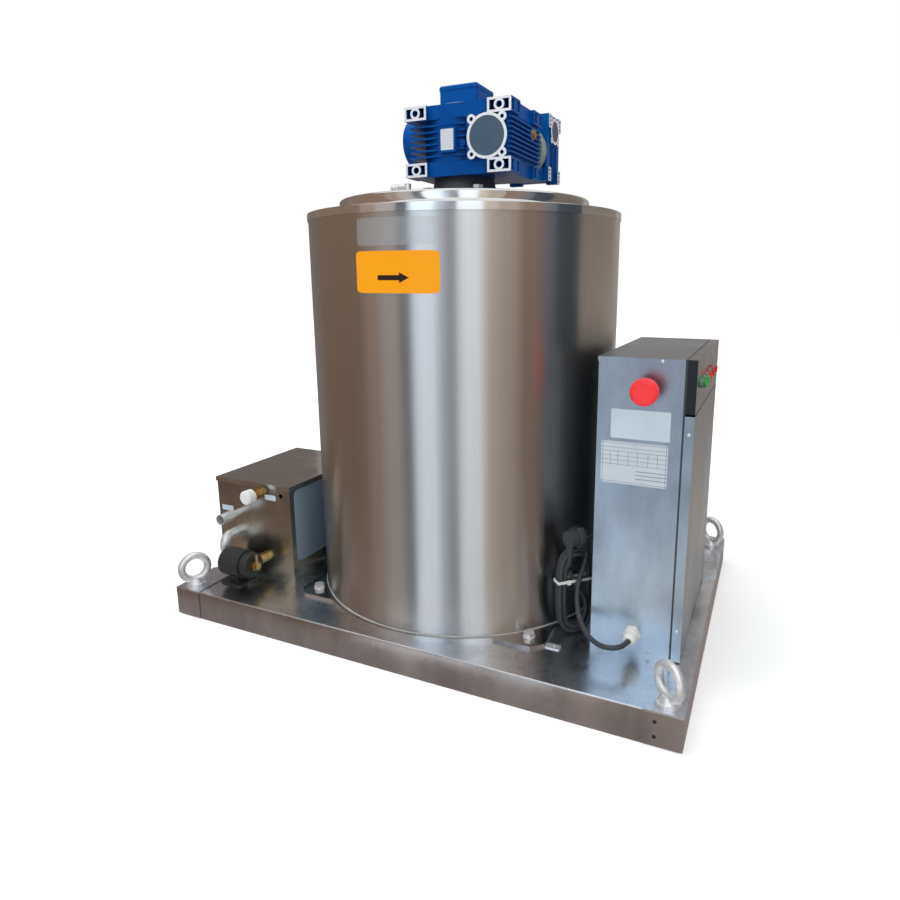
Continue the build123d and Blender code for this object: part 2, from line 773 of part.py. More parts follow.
# Evaporator: a thick bored cylinder with a jacket welded round its refrigerant channel
with BuildPart() as evaporator_cylinder:
    revolve(
        rectangle_outline(EVAPORATOR_BORE, EVAPORATOR_OUTER, EVAPORATOR_FOOT, EVAPORATOR_TOP),
        axis=DRUM_AXIS,
    )
    revolve(
        drum_outline(
            [
                (EVAPORATOR_OUTER, JACKET_FOOT),
                (JACKET_OUTER, JACKET_FOOT),
                (JACKET_OUTER, JACKET_TOP),
                (EVAPORATOR_OUTER, JACKET_TOP),
                (EVAPORATOR_OUTER, JACKET_TOP - JACKET_SHEET),
                (JACKET_BORE, JACKET_TOP - JACKET_SHEET),
                (JACKET_BORE, JACKET_FOOT + JACKET_SHEET),
                (EVAPORATOR_OUTER, JACKET_FOOT + JACKET_SHEET),
            ]
        ),
        axis=DRUM_AXIS,
    )
save(evaporator_cylinder, "evaporator_cylinder")

# Thin liner of the ice outlet, from under the evaporator down through the bed
with BuildPart() as outlet_liner:
    revolve(
        rectangle_outline(LINER_BORE, LINER_OUTER, LINER_FOOT, EVAPORATOR_FOOT - SLIP), axis=DRUM_AXIS
    )
    extrude(
        disc(facing_right(0), (DRUM_Y, DRAIN_LEVEL), DRAIN_RADIUS + SLIP),
        amount=-2 * DRUM_RADIUS,
        mode=Mode.SUBTRACT,
    )
save(outlet_liner, "outlet_liner")

# Ring-shaped gutter that catches the water which didn't freeze
with BuildPart() as water_gutter:
    revolve(
        drum_outline(
            [
                (GUTTER_INNER, GUTTER_FOOT),
                (GUTTER_OUTER, GUTTER_FOOT),
                (GUTTER_OUTER, GUTTER_TOP),
                (GUTTER_OUTER - GUTTER_SHEET, GUTTER_TOP),
                (GUTTER_OUTER - GUTTER_SHEET, GUTTER_FOOT + GUTTER_SHEET),
                (GUTTER_INNER + GUTTER_SHEET, GUTTER_FOOT + GUTTER_SHEET),
                (GUTTER_INNER + GUTTER_SHEET, GUTTER_TOP),
                (GUTTER_INNER, GUTTER_TOP),
            ]
        ),
        axis=DRUM_AXIS,
    )
    extrude(
        disc(
            facing_right(-GUTTER_INNER - GUTTER_SHEET - RUNNING),
            (DRUM_Y, DRAIN_LEVEL),
            DRAIN_RADIUS + SLIP,
        ),
        amount=-GUTTER_WIDTH,
        mode=Mode.SUBTRACT,
    )
save(water_gutter, "water_gutter")

# Refrigerant stubs, each a copper tube closed with a domed cap
STUB_START = DRUM_Y + sqrt(JACKET_OUTER**2 - (STUB_SPREAD - STUB_SUCTION) ** 2) + SLIP
STUB_END = DRUM_Y + DRUM_RADIUS + STUB_PROUD
STUBS = [
    (-STUB_SPREAD, STUB_SUCTION_LEVEL, STUB_SUCTION),
    (STUB_SPREAD, STUB_LIQUID_LEVEL, STUB_LIQUID),
]
with BuildPart() as refrigerant_stubs:
    for stub_x, stub_z, radius in STUBS:
        extrude(disc(facing_front(STUB_END), (stub_x, stub_z), radius), amount=STUB_END - STUB_START)
    for stub_x, stub_z, radius in STUBS:
        fillet(
            refrigerant_stubs.edges().filter_by(GeomType.CIRCLE).group_by(Axis.Y)[-1].sort_by(Axis.X)[
                0 if stub_x < 0 else -1
            ],
            radius / 2,
        )
    for stub_x, stub_z, radius in STUBS:
        extrude(
            disc(facing_front(STUB_END - radius), (stub_x, stub_z), radius - STUB_WALL),
            amount=STUB_END - STUB_START,
            mode=Mode.SUBTRACT,
        )
save(refrigerant_stubs, "refrigerant_stubs")

# Lid: a pan with a rolled upper edge and a bead above its seat
with BuildPart() as top_lid:
    with BuildSketch(DRUM_SECTION):
        with BuildLine():
            Line((MOUNT_BORE, LID_TOP), (LID_RADIUS - LID_ROLL, LID_TOP))
            JernArc((LID_RADIUS - LID_ROLL, LID_TOP), (1, 0), LID_ROLL, -90)
            Line((LID_RADIUS, LID_TOP - LID_ROLL), (LID_RADIUS, CAP_TOP + 2 * LID_BEAD + LID_ROLL))
            Line(
                (LID_RADIUS, CAP_TOP + 2 * LID_BEAD + LID_ROLL),
                (LID_RADIUS + LID_BEAD_PROUD - LID_BEAD, CAP_TOP + 2 * LID_BEAD),
            )
            JernArc(
                (LID_RADIUS + LID_BEAD_PROUD - LID_BEAD, CAP_TOP + 2 * LID_BEAD), (1, 0), LID_BEAD, -180
            )
            Polyline(
                (LID_RADIUS + LID_BEAD_PROUD - LID_BEAD, CAP_TOP),
                (LID_RADIUS - LID_SHEET, CAP_TOP),
                (LID_RADIUS - LID_SHEET, LID_TOP - LID_SHEET),
                (MOUNT_BORE, LID_TOP - LID_SHEET),
                (MOUNT_BORE, LID_TOP),
            )
        make_face()
    revolve(axis=DRUM_AXIS)
FEED_PLACE = on_drum(FEED_TURN, (PAN_INNER + PAN_OUTER) / 2 + PAN_SHEET)
with top_lid:
    extrude(disc(level(LID_TOP), FEED_PLACE, FEED_PIPE + SLIP), amount=-LID_SHEET, mode=Mode.SUBTRACT)
save(top_lid, "top_lid")

# Flanged housing of the spindle's upper bush, hung under the lid's middle
UPPER_HUB_FOOT = LID_TOP - LID_SHEET - UPPER_HUB_DEPTH
SPINDLE_SHOULDER_LEVEL = MOUNT_TOP - SPINDLE_SHOULDER
BUSH_OUTER = SPINDLE_RADIUS + BUSH_WALL
with BuildPart() as upper_bearing_housing:
    revolve(
        drum_outline(
            [
                (BUSH_OUTER + RUNNING, UPPER_HUB_FOOT),
                (UPPER_HUB_RADIUS, UPPER_HUB_FOOT),
                (UPPER_HUB_RADIUS, LID_TOP - LID_SHEET - UPPER_FLANGE_PLATE),
                (UPPER_FLANGE_RADIUS, LID_TOP - LID_SHEET - UPPER_FLANGE_PLATE),
                (UPPER_FLANGE_RADIUS, LID_TOP - LID_SHEET),
                (BUSH_OUTER + RUNNING, LID_TOP - LID_SHEET),
            ]
        ),
        axis=DRUM_AXIS,
    )
save(upper_bearing_housing, "upper_bearing_housing")

# Lower spider: a hub on three arms across the ice outlet
SPIDER_TOP = GUTTER_FOOT - SPIDER_RISE
SPIDER_FOOT = SPIDER_TOP - SPIDER_HEIGHT
HUB_OUTER = BUSH_OUTER + HUB_WALL
with BuildPart() as lower_spider:
    with BuildSketch(level(SPIDER_FOOT)):
        with Locations((0, DRUM_Y)):
            Circle(HUB_OUTER)
            with PolarLocations(0, SPIDER_ARMS, start_angle=90):
                with Locations(((LINER_BORE - SLIP) / 2, 0)):
                    Rectangle(LINER_BORE - SLIP, SPIDER_ARM)
            Circle(BUSH_OUTER + RUNNING, mode=Mode.SUBTRACT)
    extrude(amount=SPIDER_HEIGHT)
    extrude(
        disc(level(SPIDER_FOOT), (0, DRUM_Y), LINER_BORE - SLIP),
        amount=SPIDER_HEIGHT,
        mode=Mode.INTERSECT,
    )
save(lower_spider, "lower_spider")

# Plain bushes that the spindle turns in, one in the spider and one under the lid
with BuildPart() as spindle_bushes:
    revolve(
        rectangle_outline(SPINDLE_RADIUS + RUNNING, BUSH_OUTER, SPIDER_FOOT, SPIDER_TOP), axis=DRUM_AXIS
    )
    revolve(
        rectangle_outline(SPINDLE_RADIUS + RUNNING, BUSH_OUTER, UPPER_HUB_FOOT, LID_TOP - LID_SHEET),
        axis=DRUM_AXIS,
    )
save(spindle_bushes, "spindle_bushes")

# Spindle, stepped down to a journal with a key for the gearbox
JOURNAL_TOP = GEARBOX_TOP - SLEEVE_PROUD
KEY_FOOT = GEARBOX_MIDDLE - DRIVE_KEY_LENGTH / 2
SPINDLE_BOTTOM = SPIDER_FOOT - SPINDLE_SHOULDER
with BuildPart() as spindle:
    revolve(
        drum_outline(
            [
                (0, SPINDLE_BOTTOM),
                (SPINDLE_RADIUS, SPINDLE_BOTTOM),
                (SPINDLE_RADIUS, SPINDLE_SHOULDER_LEVEL),
                (JOURNAL_RADIUS, SPINDLE_SHOULDER_LEVEL),
                (JOURNAL_RADIUS, JOURNAL_TOP),
                (0, JOURNAL_TOP),
            ]
        ),
        axis=DRUM_AXIS,
    )
    with BuildSketch(level(KEY_FOOT)):
        with Locations((JOURNAL_RADIUS, DRUM_Y)):
            Rectangle(DRIVE_KEY_HEIGHT - 2 * RUNNING, DRIVE_KEY_WIDTH - 2 * RUNNING)
    extrude(amount=DRIVE_KEY_LENGTH)
save(spindle, "spindle")

# Hollow output shaft of the main gearbox, which turns with the spindle
with BuildPart() as output_sleeve:
    revolve(
        rectangle_outline(SLEEVE_BORE, MAIN_BORE - RUNNING, GEARBOX_FOOT - SLEEVE_PROUD, GEARBOX_TOP),
        axis=DRUM_AXIS,
    )
    with BuildSketch(level(KEY_FOOT)):
        with Locations((JOURNAL_RADIUS, DRUM_Y)):
            Rectangle(DRIVE_KEY_HEIGHT, DRIVE_KEY_WIDTH)
    extrude(amount=DRIVE_KEY_LENGTH, mode=Mode.SUBTRACT)
save(output_sleeve, "output_sleeve")

# Blade carrier: two clamping hubs, each with an arm to the blade's post and one to the squeegee's
BLADE_FOOT = EVAPORATOR_FOOT + BLADE_END_GAP
BLADE_HEAD = EVAPORATOR_TOP - 3 * BLADE_END_GAP
BLADE_REACH = EVAPORATOR_BORE - BLADE_GAP
BLADE_BACK_FACE = sqrt((BLADE_REACH - BLADE_TOOTH) ** 2 - (BLADE_BACK_WIDTH / 2) ** 2)
POST_FACE = BLADE_BACK_FACE - BLADE_BACK_THICK
BLADE_PLANE = Plane(
    (0, DRUM_Y, 0),
    x_dir=(cos(radians(BLADE_TURN)), sin(radians(BLADE_TURN)), 0),
    z_dir=(0, 0, 1),
)
ARM_LENGTH = POST_FACE - CARRIER_POST_THICK / 2
SQUEEGEE_PLANE = Plane(
    (0, DRUM_Y, 0),
    x_dir=(cos(radians(SQUEEGEE_TURN)), sin(radians(SQUEEGEE_TURN)), 0),
    z_dir=(0, 0, 1),
)
SQUEEGEE_TIP = BLADE_REACH - 2 * BLADE_GAP
SQUEEGEE_ROOT = SQUEEGEE_TIP - SQUEEGEE_WIDTH
with BuildPart() as blade_carrier:
    for arm_foot in (BLADE_FOOT + BLADE_END_GAP, BLADE_HEAD - BLADE_END_GAP - CARRIER_HUB_HEIGHT):
        with BuildSketch(BLADE_PLANE.offset(arm_foot)):
            Circle(CARRIER_HUB)
        extrude(amount=CARRIER_HUB_HEIGHT)
        with BuildSketch(BLADE_PLANE.offset(arm_foot + (CARRIER_HUB_HEIGHT - CARRIER_ARM_HEIGHT) / 2)):
            with Locations((ARM_LENGTH / 2, 0)):
                Rectangle(ARM_LENGTH, CARRIER_ARM_WIDTH)
        extrude(amount=CARRIER_ARM_HEIGHT)
    with BuildSketch(BLADE_PLANE.offset(BLADE_FOOT)):
        with Locations((POST_FACE - CARRIER_POST_THICK / 2, 0)):
            RectangleRounded(CARRIER_POST_THICK, CARRIER_POST_WIDTH, CARRIER_POST_THICK / 4)
    extrude(amount=BLADE_HEAD - BLADE_FOOT)
    for arm_foot in (BLADE_FOOT + BLADE_END_GAP, BLADE_HEAD - BLADE_END_GAP - CARRIER_HUB_HEIGHT):
        with BuildSketch(SQUEEGEE_PLANE.offset(arm_foot + (CARRIER_HUB_HEIGHT - SQUEEGEE_ARM) / 2)):
            with Locations((SQUEEGEE_ROOT / 2, 0)):
                Rectangle(SQUEEGEE_ROOT, SQUEEGEE_ARM)
        extrude(amount=SQUEEGEE_ARM)
    with BuildSketch(SQUEEGEE_PLANE.offset(BLADE_FOOT)):
        with Locations((SQUEEGEE_ROOT - SQUEEGEE_THICK / 2, 0)):
            Rectangle(SQUEEGEE_THICK, SQUEEGEE_ARM)
    extrude(amount=BLADE_HEAD - BLADE_FOOT)
    with BuildSketch(BLADE_PLANE.offset(BLADE_FOOT)):
        Circle(SPINDLE_RADIUS + RUNNING)
    extrude(amount=BLADE_HEAD - BLADE_FOOT, mode=Mode.SUBTRACT)
save(blade_carrier, "blade_carrier")

# Ice blade: a bar with a row of leaning teeth, trimmed to the sweep just inside the evaporator
BLADE_SPAN = BLADE_HEAD - BLADE_FOOT
TOOTH_COUNT = int((BLADE_SPAN - BLADE_TOOTH_PITCH) / BLADE_TOOTH_PITCH)
TOOTH_PLANE = Plane(
    BLADE_PLANE.from_local_coords((BLADE_BACK_FACE - BLADE_TOOTH / 4, 0, BLADE_FOOT + BLADE_SPAN / 2)),
    x_dir=BLADE_PLANE.y_dir,
    z_dir=BLADE_PLANE.x_dir,
)
with BuildPart() as ice_blade:
    with BuildSketch(BLADE_PLANE.offset(BLADE_FOOT)):
        with Locations((BLADE_BACK_FACE - BLADE_BACK_THICK / 2, 0)):
            Rectangle(BLADE_BACK_THICK, BLADE_BACK_WIDTH)
    extrude(amount=BLADE_SPAN)
    with BuildSketch(TOOTH_PLANE):
        with GridLocations(0, BLADE_TOOTH_PITCH, 1, TOOTH_COUNT):
            Rectangle(
                BLADE_BACK_WIDTH / cos(radians(BLADE_TOOTH_LEAN)) - 2 * BLADE_TOOTH_THICK,
                BLADE_TOOTH_THICK,
                rotation=BLADE_TOOTH_LEAN,
            )
    extrude(amount=1.5 * BLADE_TOOTH, taper=BLADE_TOOTH_TAPER)
    with BuildSketch(BLADE_PLANE.offset(BLADE_FOOT)):
        Circle(BLADE_REACH)
    extrude(amount=BLADE_SPAN, mode=Mode.INTERSECT)
save(ice_blade, "ice_blade")

# Squeegee: a rubber strip that wipes the wall ahead of the next pass
with BuildPart() as squeegee:
    with BuildSketch(SQUEEGEE_PLANE.offset(BLADE_FOOT)):
        with BuildLine():
            Polyline(
                (SQUEEGEE_ROOT, -SQUEEGEE_THICK / 2),
                (SQUEEGEE_TIP - SQUEEGEE_THICK, -SQUEEGEE_THICK / 2),
                (SQUEEGEE_TIP, SQUEEGEE_THICK / 4),
                (SQUEEGEE_TIP, SQUEEGEE_THICK / 2),
                (SQUEEGEE_ROOT, SQUEEGEE_THICK / 2),
                close=True,
            )
        make_face()
    extrude(amount=BLADE_SPAN)
save(squeegee, "squeegee")

# Turning water pan above the blade, with a ring of spouts towards the wall
PAN_FOOT = BLADE_HEAD + BLADE_END_GAP
SPOUT_LEVEL = PAN_FOOT + PAN_DEPTH / 2
SPOUT_LENGTH = (EVAPORATOR_BORE - SPOUT_END_GAP - PAN_OUTER) / cos(radians(SPOUT_LEAN)) - SPOUT_RADIUS
with BuildPart() as water_pan:
    revolve(
        drum_outline(
            [
                (SPINDLE_RADIUS + RUNNING, PAN_FOOT),
                (PAN_OUTER, PAN_FOOT),
                (PAN_OUTER, PAN_FOOT + PAN_DEPTH),
                (PAN_OUTER - PAN_SHEET, PAN_FOOT + PAN_DEPTH),
                (PAN_OUTER - PAN_SHEET, PAN_FOOT + PAN_FLOOR_RISE),
                (PAN_INNER + PAN_SHEET, PAN_FOOT + PAN_FLOOR_RISE),
                (PAN_INNER + PAN_SHEET, PAN_FOOT + PAN_DEPTH),
                (PAN_INNER, PAN_FOOT + PAN_DEPTH),
                (PAN_INNER, PAN_FOOT + PAN_FLOOR_RISE),
                (SPINDLE_RADIUS + HUB_WALL, PAN_FOOT + PAN_FLOOR_RISE),
                (SPINDLE_RADIUS + HUB_WALL, PAN_FOOT + PAN_DEPTH),
                (SPINDLE_RADIUS + RUNNING, PAN_FOOT + PAN_DEPTH),
            ]
        ),
        axis=DRUM_AXIS,
    )
    with Locations(Location((0, DRUM_Y, SPOUT_LEVEL))):
        with PolarLocations(0, SPOUT_COUNT, start_angle=BLADE_TURN + 180 / SPOUT_COUNT):
            with Locations(Location((PAN_OUTER - PAN_SHEET, 0, 0), (0, 90 + SPOUT_LEAN, 0))):
                Cylinder(SPOUT_RADIUS, SPOUT_LENGTH, align=(Align.CENTER, Align.CENTER, Align.MIN))
    with Locations(Location((0, DRUM_Y, SPOUT_LEVEL))):
        with PolarLocations(0, SPOUT_COUNT, start_angle=BLADE_TURN + 180 / SPOUT_COUNT):
            with Locations(Location((PAN_OUTER - 2 * SPOUT_RADIUS, 0, 0), (0, 90 + SPOUT_LEAN, 0))):
                Cylinder(
                    SPOUT_BORE,
                    SPOUT_LENGTH + 2 * SPOUT_RADIUS,
                    align=(Align.CENTER, Align.CENTER, Align.MIN),
                    mode=Mode.SUBTRACT,
                )
save(water_pan, "water_pan")

# Water feed: an upright pipe through the lid with a barbed elbow that points left
FEED_FOOT = PAN_FOOT + PAN_DEPTH - PAN_FLOOR_RISE
FEED_ELBOW = LID_TOP + FEED_RISE
with BuildPart() as water_feed_pipe:
    extrude(disc(level(FEED_FOOT), FEED_PLACE, FEED_PIPE), amount=FEED_ELBOW - FEED_FOOT + FEED_PIPE)
    extrude(hexagon(level(LID_TOP), FEED_PLACE, FEED_NUT_FLATS), amount=FEED_NUT_HEIGHT)
    with BuildSketch(facing_right(FEED_PLACE[0])):
        with Locations((FEED_PLACE[1], FEED_ELBOW)):
            Circle(FEED_PIPE)
    extrude(amount=-FEED_REACH)
    for barb in range(FEED_BARBS):
        with BuildSketch(facing_right(FEED_PLACE[0] - FEED_REACH + barb * FEED_PIPE)):
            with Locations((FEED_PLACE[1], FEED_ELBOW)):
                Circle(FEED_PIPE + FEED_WALL)
        extrude(amount=FEED_WALL * 2, taper=20)
    extrude(
        disc(level(FEED_FOOT), FEED_PLACE, FEED_PIPE - 2 * FEED_WALL),
        amount=FEED_ELBOW - FEED_FOOT,
        mode=Mode.SUBTRACT,
    )
    extrude(
        disc(facing_right(FEED_PLACE[0]), (FEED_PLACE[1], FEED_ELBOW), FEED_PIPE - 2 * FEED_WALL),
        amount=-FEED_REACH,
        mode=Mode.SUBTRACT,
    )
save(water_feed_pipe, "water_feed_pipe")

# Round plate and cast flange that carry the main gearbox
BOLT_CIRCLE = [on_drum(45 + 360 / MOUNT_BOLTS * number, MOUNT_BOLT_CIRCLE) for number in range(MOUNT_BOLTS)]
with BuildPart() as gearbox_mount_plate:
    revolve(rectangle_outline(MOUNT_BORE, MOUNT_PLATE_RADIUS, LID_TOP, MOUNT_TOP), axis=DRUM_AXIS)
    for place in BOLT_CIRCLE:
        extrude(disc(level(LID_TOP), place, MOUNT_BOLT + HOLE_PLAY), amount=MOUNT_PLATE, mode=Mode.SUBTRACT)
save(gearbox_mount_plate, "gearbox_mount_plate")

with BuildPart() as gearbox_output_flange:
    revolve(
        drum_outline(
            [
                (MAIN_BORE, MOUNT_TOP),
                (OUTPUT_FLANGE_RADIUS, MOUNT_TOP),
                (OUTPUT_FLANGE_RADIUS, MOUNT_TOP + OUTPUT_FLANGE_PLATE),
                (OUTPUT_FLANGE_NECK, MOUNT_TOP + OUTPUT_FLANGE_PLATE),
                (OUTPUT_FLANGE_NECK - HUB_WALL, GEARBOX_FOOT),
                (MAIN_BORE, GEARBOX_FOOT),
            ]
        ),
        axis=DRUM_AXIS,
    )
    for place in BOLT_CIRCLE:
        extrude(
            disc(level(MOUNT_TOP), place, MOUNT_BOLT + HOLE_PLAY),
            amount=OUTPUT_FLANGE_PLATE,
            mode=Mode.SUBTRACT,
        )
save(gearbox_output_flange, "gearbox_output_flange")

# Hexagon bolts of the foot flange and of the gearbox flange
BOLT_SEAT = MOUNT_TOP + OUTPUT_FLANGE_PLATE
with BuildPart() as hex_bolts:
    for place in FLANGE_BOLT_PLACES:
        extrude(disc(level(FLANGE_TOP), place, FLANGE_WASHER), amount=FLANGE_WASHER_SHEET)
        extrude(
            hexagon(level(FLANGE_TOP + FLANGE_WASHER_SHEET), place, FLANGE_BOLT_FLATS),
            amount=FLANGE_BOLT_HEAD,
        )
        extrude(disc(level(FLANGE_TOP), place, FLANGE_BOLT), amount=-FLANGE_BOLT_LENGTH)
    for place in BOLT_CIRCLE:
        extrude(hexagon(level(BOLT_SEAT), place, MOUNT_BOLT_FLATS), amount=MOUNT_BOLT_HEAD)
        extrude(disc(level(BOLT_SEAT), place, MOUNT_BOLT), amount=-MOUNT_BOLT_LENGTH)
save(hex_bolts, "hex_bolts")


def pad_places(left, centres, right, height, length, pad_height):
    """Middles of the four foot pads on the face across the worm axis."""
    low_x = -left + length / 2
    high_x = centres + right - length / 2
    reach = (height - pad_height) / 2
    return [(low_x, -reach), (high_x, -reach), (low_x, reach), (high_x, reach)]


def shelf_levels(count, low, high):
    """Heights of count shelves spread evenly between two levels."""
    gap = (high - low) / (count + 1)
    return [low + gap * (number + 1) for number in range(count)]


def worm_housing(
    left, centres, right, depth, height, case, ring, cap, ear, ear_hole, ear_circle, pad_length,
    pad_height, wall, rib, rib_depth, boss, boss_hole, level_boss, fins, ribs, bore,
):
    """Cast worm gearbox in its own frame: output axis along Z through the origin, worm axis along Y
    at x = centres, with its closed end towards -Y. Left and right are the lengths past each axis."""
    middle = (centres + right - left) / 2
    length = left + centres + right
    half_depth = depth / 2
    half = height / 2
    inset = rib_depth - WEB
    core_right = centres + right - rib_depth
    worm_left = centres - ring - wall
    rail_foot = half - pad_height
    pads = pad_places(left, centres, right, height, pad_length, pad_height)
    with BuildPart() as housing:
        # Round case of the wheel, block of the worm, and the rails above and below that carry the pads
        with BuildSketch(level(-half)):
            Circle(case)
        extrude(amount=height)
        with BuildSketch(facing_front(-half_depth + inset)):
            with Locations(((worm_left + core_right) / 2, 0)):
                Rectangle(core_right - worm_left, height - 2 * wall)
        extrude(amount=-(depth - 2 * inset))
        for low in (-half, rail_foot):
            with BuildSketch(level(low)):
                with Locations((middle, 0)):
                    RectangleRounded(length - 2 * inset, depth - 2 * inset, inset)
            extrude(amount=pad_height)
        for face, inward in ((half, -1), (-half, 1)):
            with BuildSketch(level(face)):
                with Locations((middle, 0)):
                    RectangleRounded(length - 4 * inset, depth - 4 * inset, inset)
                Circle(case, mode=Mode.SUBTRACT)
                with Locations((centres, 0)):
                    Rectangle(2 * (right - inset), depth, mode=Mode.SUBTRACT)
            extrude(amount=inward * (pad_height - wall), mode=Mode.SUBTRACT)
        # Cooling fins round the wheel's case and upright faces' ribs on the worm's side
        for shelf in shelf_levels(fins, -rail_foot, rail_foot):
            with BuildSketch(level(shelf - rib / 2)):
                with Locations(((worm_left - left + wall) / 2, 0)):
                    RectangleRounded(worm_left + left - wall, depth - 3 * wall, inset)
            extrude(amount=rib)
        for shelf in shelf_levels(ribs, -rail_foot, rail_foot):
            with BuildSketch(level(shelf - rib / 2)):
                with Locations((centres + right - rib_depth / 2, 0)):
                    Rectangle(rib_depth, depth - 2 * wall)
            extrude(amount=rib)
        # Pads with a pocket on each side of a round boss, open to the front, back and sides
        for side in (-1, 1):
            with BuildSketch(facing_front(side * half_depth)):
                with Locations(*pads):
                    Rectangle(pad_length, pad_height)
            extrude(amount=side * pad_length)
        for side in (-1, 1):
            with BuildSketch(facing_front(side * half_depth)):
                with Locations(*pads):
                    Rectangle(pad_length - 2 * wall, pad_height - 2 * wall)
                    Circle(boss, mode=Mode.SUBTRACT)
            extrude(amount=side * pad_length / 2, mode=Mode.SUBTRACT)
            with BuildSketch(facing_front(side * half_depth)):
                with Locations(*pads):
                    Circle(boss_hole)
            extrude(amount=side * (pad_length - wall), mode=Mode.SUBTRACT)
        side_pads = [
            (end * (half_depth - pad_length / 2), row * (height - pad_height) / 2)
            for end in (-1, 1)
            for row in (-1, 1)
        ]
        for pad_face, inward in ((centres + right, -1), (-left, 1)):
            with BuildSketch(facing_right(pad_face)):
                with Locations(*side_pads):
                    Rectangle(pad_length - 2 * wall, pad_height - 2 * wall)
                    Circle(boss, mode=Mode.SUBTRACT)
            extrude(amount=inward * (wall - WEB), mode=Mode.SUBTRACT)
        # Ring with four ears round the worm's closed end, and the bearing seat at its driven end
        ears = [
            (centres + ear_circle * cos(radians(turn)), ear_circle * sin(radians(turn)))
            for turn in range(45, 360, 90)
        ]
        with BuildSketch(facing_front(-half_depth)):
            with Locations((centres, 0)):
                Circle(ring)
            with Locations(*ears):
                Circle(ear)
        extrude(amount=-2 * inset)
        with BuildSketch(facing_front(-half_depth)):
            with Locations(*ears):
                Circle(ear_hole)
        extrude(amount=-inset, mode=Mode.SUBTRACT)
        with BuildSketch(facing_front(-half_depth)):
            with Locations((centres, 0)):
                Circle(cap + SLIP)
        extrude(amount=-CAP_RECESS, mode=Mode.SUBTRACT)
        with BuildSketch(facing_front(half_depth)):
            with Locations((centres, 0)):
                Circle(ring)
        extrude(amount=2 * inset)
        # Small boss for the oil level plug, and the bore for the output sleeve
        with BuildSketch(facing_front(-half_depth + inset)):
            with Locations((worm_left - level_boss - wall / 2, -level_boss)):
                Circle(level_boss)
        extrude(amount=-2 * pad_height)
        with BuildSketch(level(-half)):
            Circle(bore)
        extrude(amount=height, mode=Mode.SUBTRACT)
    return housing.part


MAIN_PLANE = Plane((0, DRUM_Y, GEARBOX_MIDDLE), x_dir=(1, 0, 0), z_dir=(0, 0, 1))
FIRST_Y = DRUM_Y + MAIN_DEPTH / 2 + COUPLING_LENGTH + FIRST_HEIGHT / 2
FIRST_PLANE = Plane((MAIN_CENTRES, FIRST_Y, GEARBOX_MIDDLE), x_dir=(0, 0, 1), z_dir=(0, -1, 0))
MOTOR_LEVEL = GEARBOX_MIDDLE + FIRST_CENTRES
MOTOR_FACE = MAIN_CENTRES - FIRST_DEPTH / 2
MAIN_FRONT = DRUM_Y - MAIN_DEPTH / 2
MAIN_RIGHT_FACE = MAIN_CENTRES + MAIN_RIGHT
OIL_PLUG_PLACE = (DRUM_Y + OIL_PLUG_BACK, GEARBOX_MIDDLE + OIL_PLUG_RISE)

with BuildPart() as main_gearbox_housing:
    add(
        worm_housing(
            left=MAIN_LEFT,
            centres=MAIN_CENTRES,
            right=MAIN_RIGHT,
            depth=MAIN_DEPTH,
            height=MAIN_HEIGHT,
            case=MAIN_CASE,
            ring=MAIN_RING,
            cap=MAIN_CAP,
            ear=MAIN_EAR,
            ear_hole=MAIN_EAR_HOLE,
            ear_circle=MAIN_EAR_CIRCLE,
            pad_length=MAIN_PAD_LENGTH,
            pad_height=MAIN_PAD_HEIGHT,
            wall=MAIN_WALL,
            rib=MAIN_RIB,
            rib_depth=MAIN_RIB_DEPTH,
            boss=MAIN_BOSS,
            boss_hole=MAIN_BOSS_HOLE,
            level_boss=MAIN_LEVEL_BOSS,
            fins=MAIN_FINS,
            ribs=MAIN_RIBS,
            bore=MAIN_BORE,
        ).moved(MAIN_PLANE.location)
    )
    extrude(
        disc(facing_right(MAIN_RIGHT_FACE), OIL_PLUG_PLACE, OIL_PLUG_BOSS),
        amount=-MAIN_RIB_DEPTH - MAIN_WALL,
    )
save(main_gearbox_housing, "main_gearbox_housing")

with BuildPart() as first_gearbox_housing:
    add(
        worm_housing(
            left=FIRST_LEFT,
            centres=FIRST_CENTRES,
            right=FIRST_RIGHT,
            depth=FIRST_DEPTH,
            height=FIRST_HEIGHT,
            case=FIRST_CASE,
            ring=FIRST_RING,
            cap=FIRST_CAP,
            ear=FIRST_EAR,
            ear_hole=FIRST_EAR_HOLE,
            ear_circle=FIRST_EAR_CIRCLE,
            pad_length=FIRST_PAD_LENGTH,
            pad_height=FIRST_PAD_HEIGHT,
            wall=FIRST_WALL,
            rib=FIRST_RIB,
            rib_depth=FIRST_RIB_DEPTH,
            boss=FIRST_BOSS,
            boss_hole=FIRST_BOSS_HOLE,
            level_boss=FIRST_LEVEL_BOSS,
            fins=FIRST_FINS,
            ribs=FIRST_RIBS,
            bore=FIRST_BORE,
        ).moved(FIRST_PLANE.location)
    )
save(first_gearbox_housing, "first_gearbox_housing")

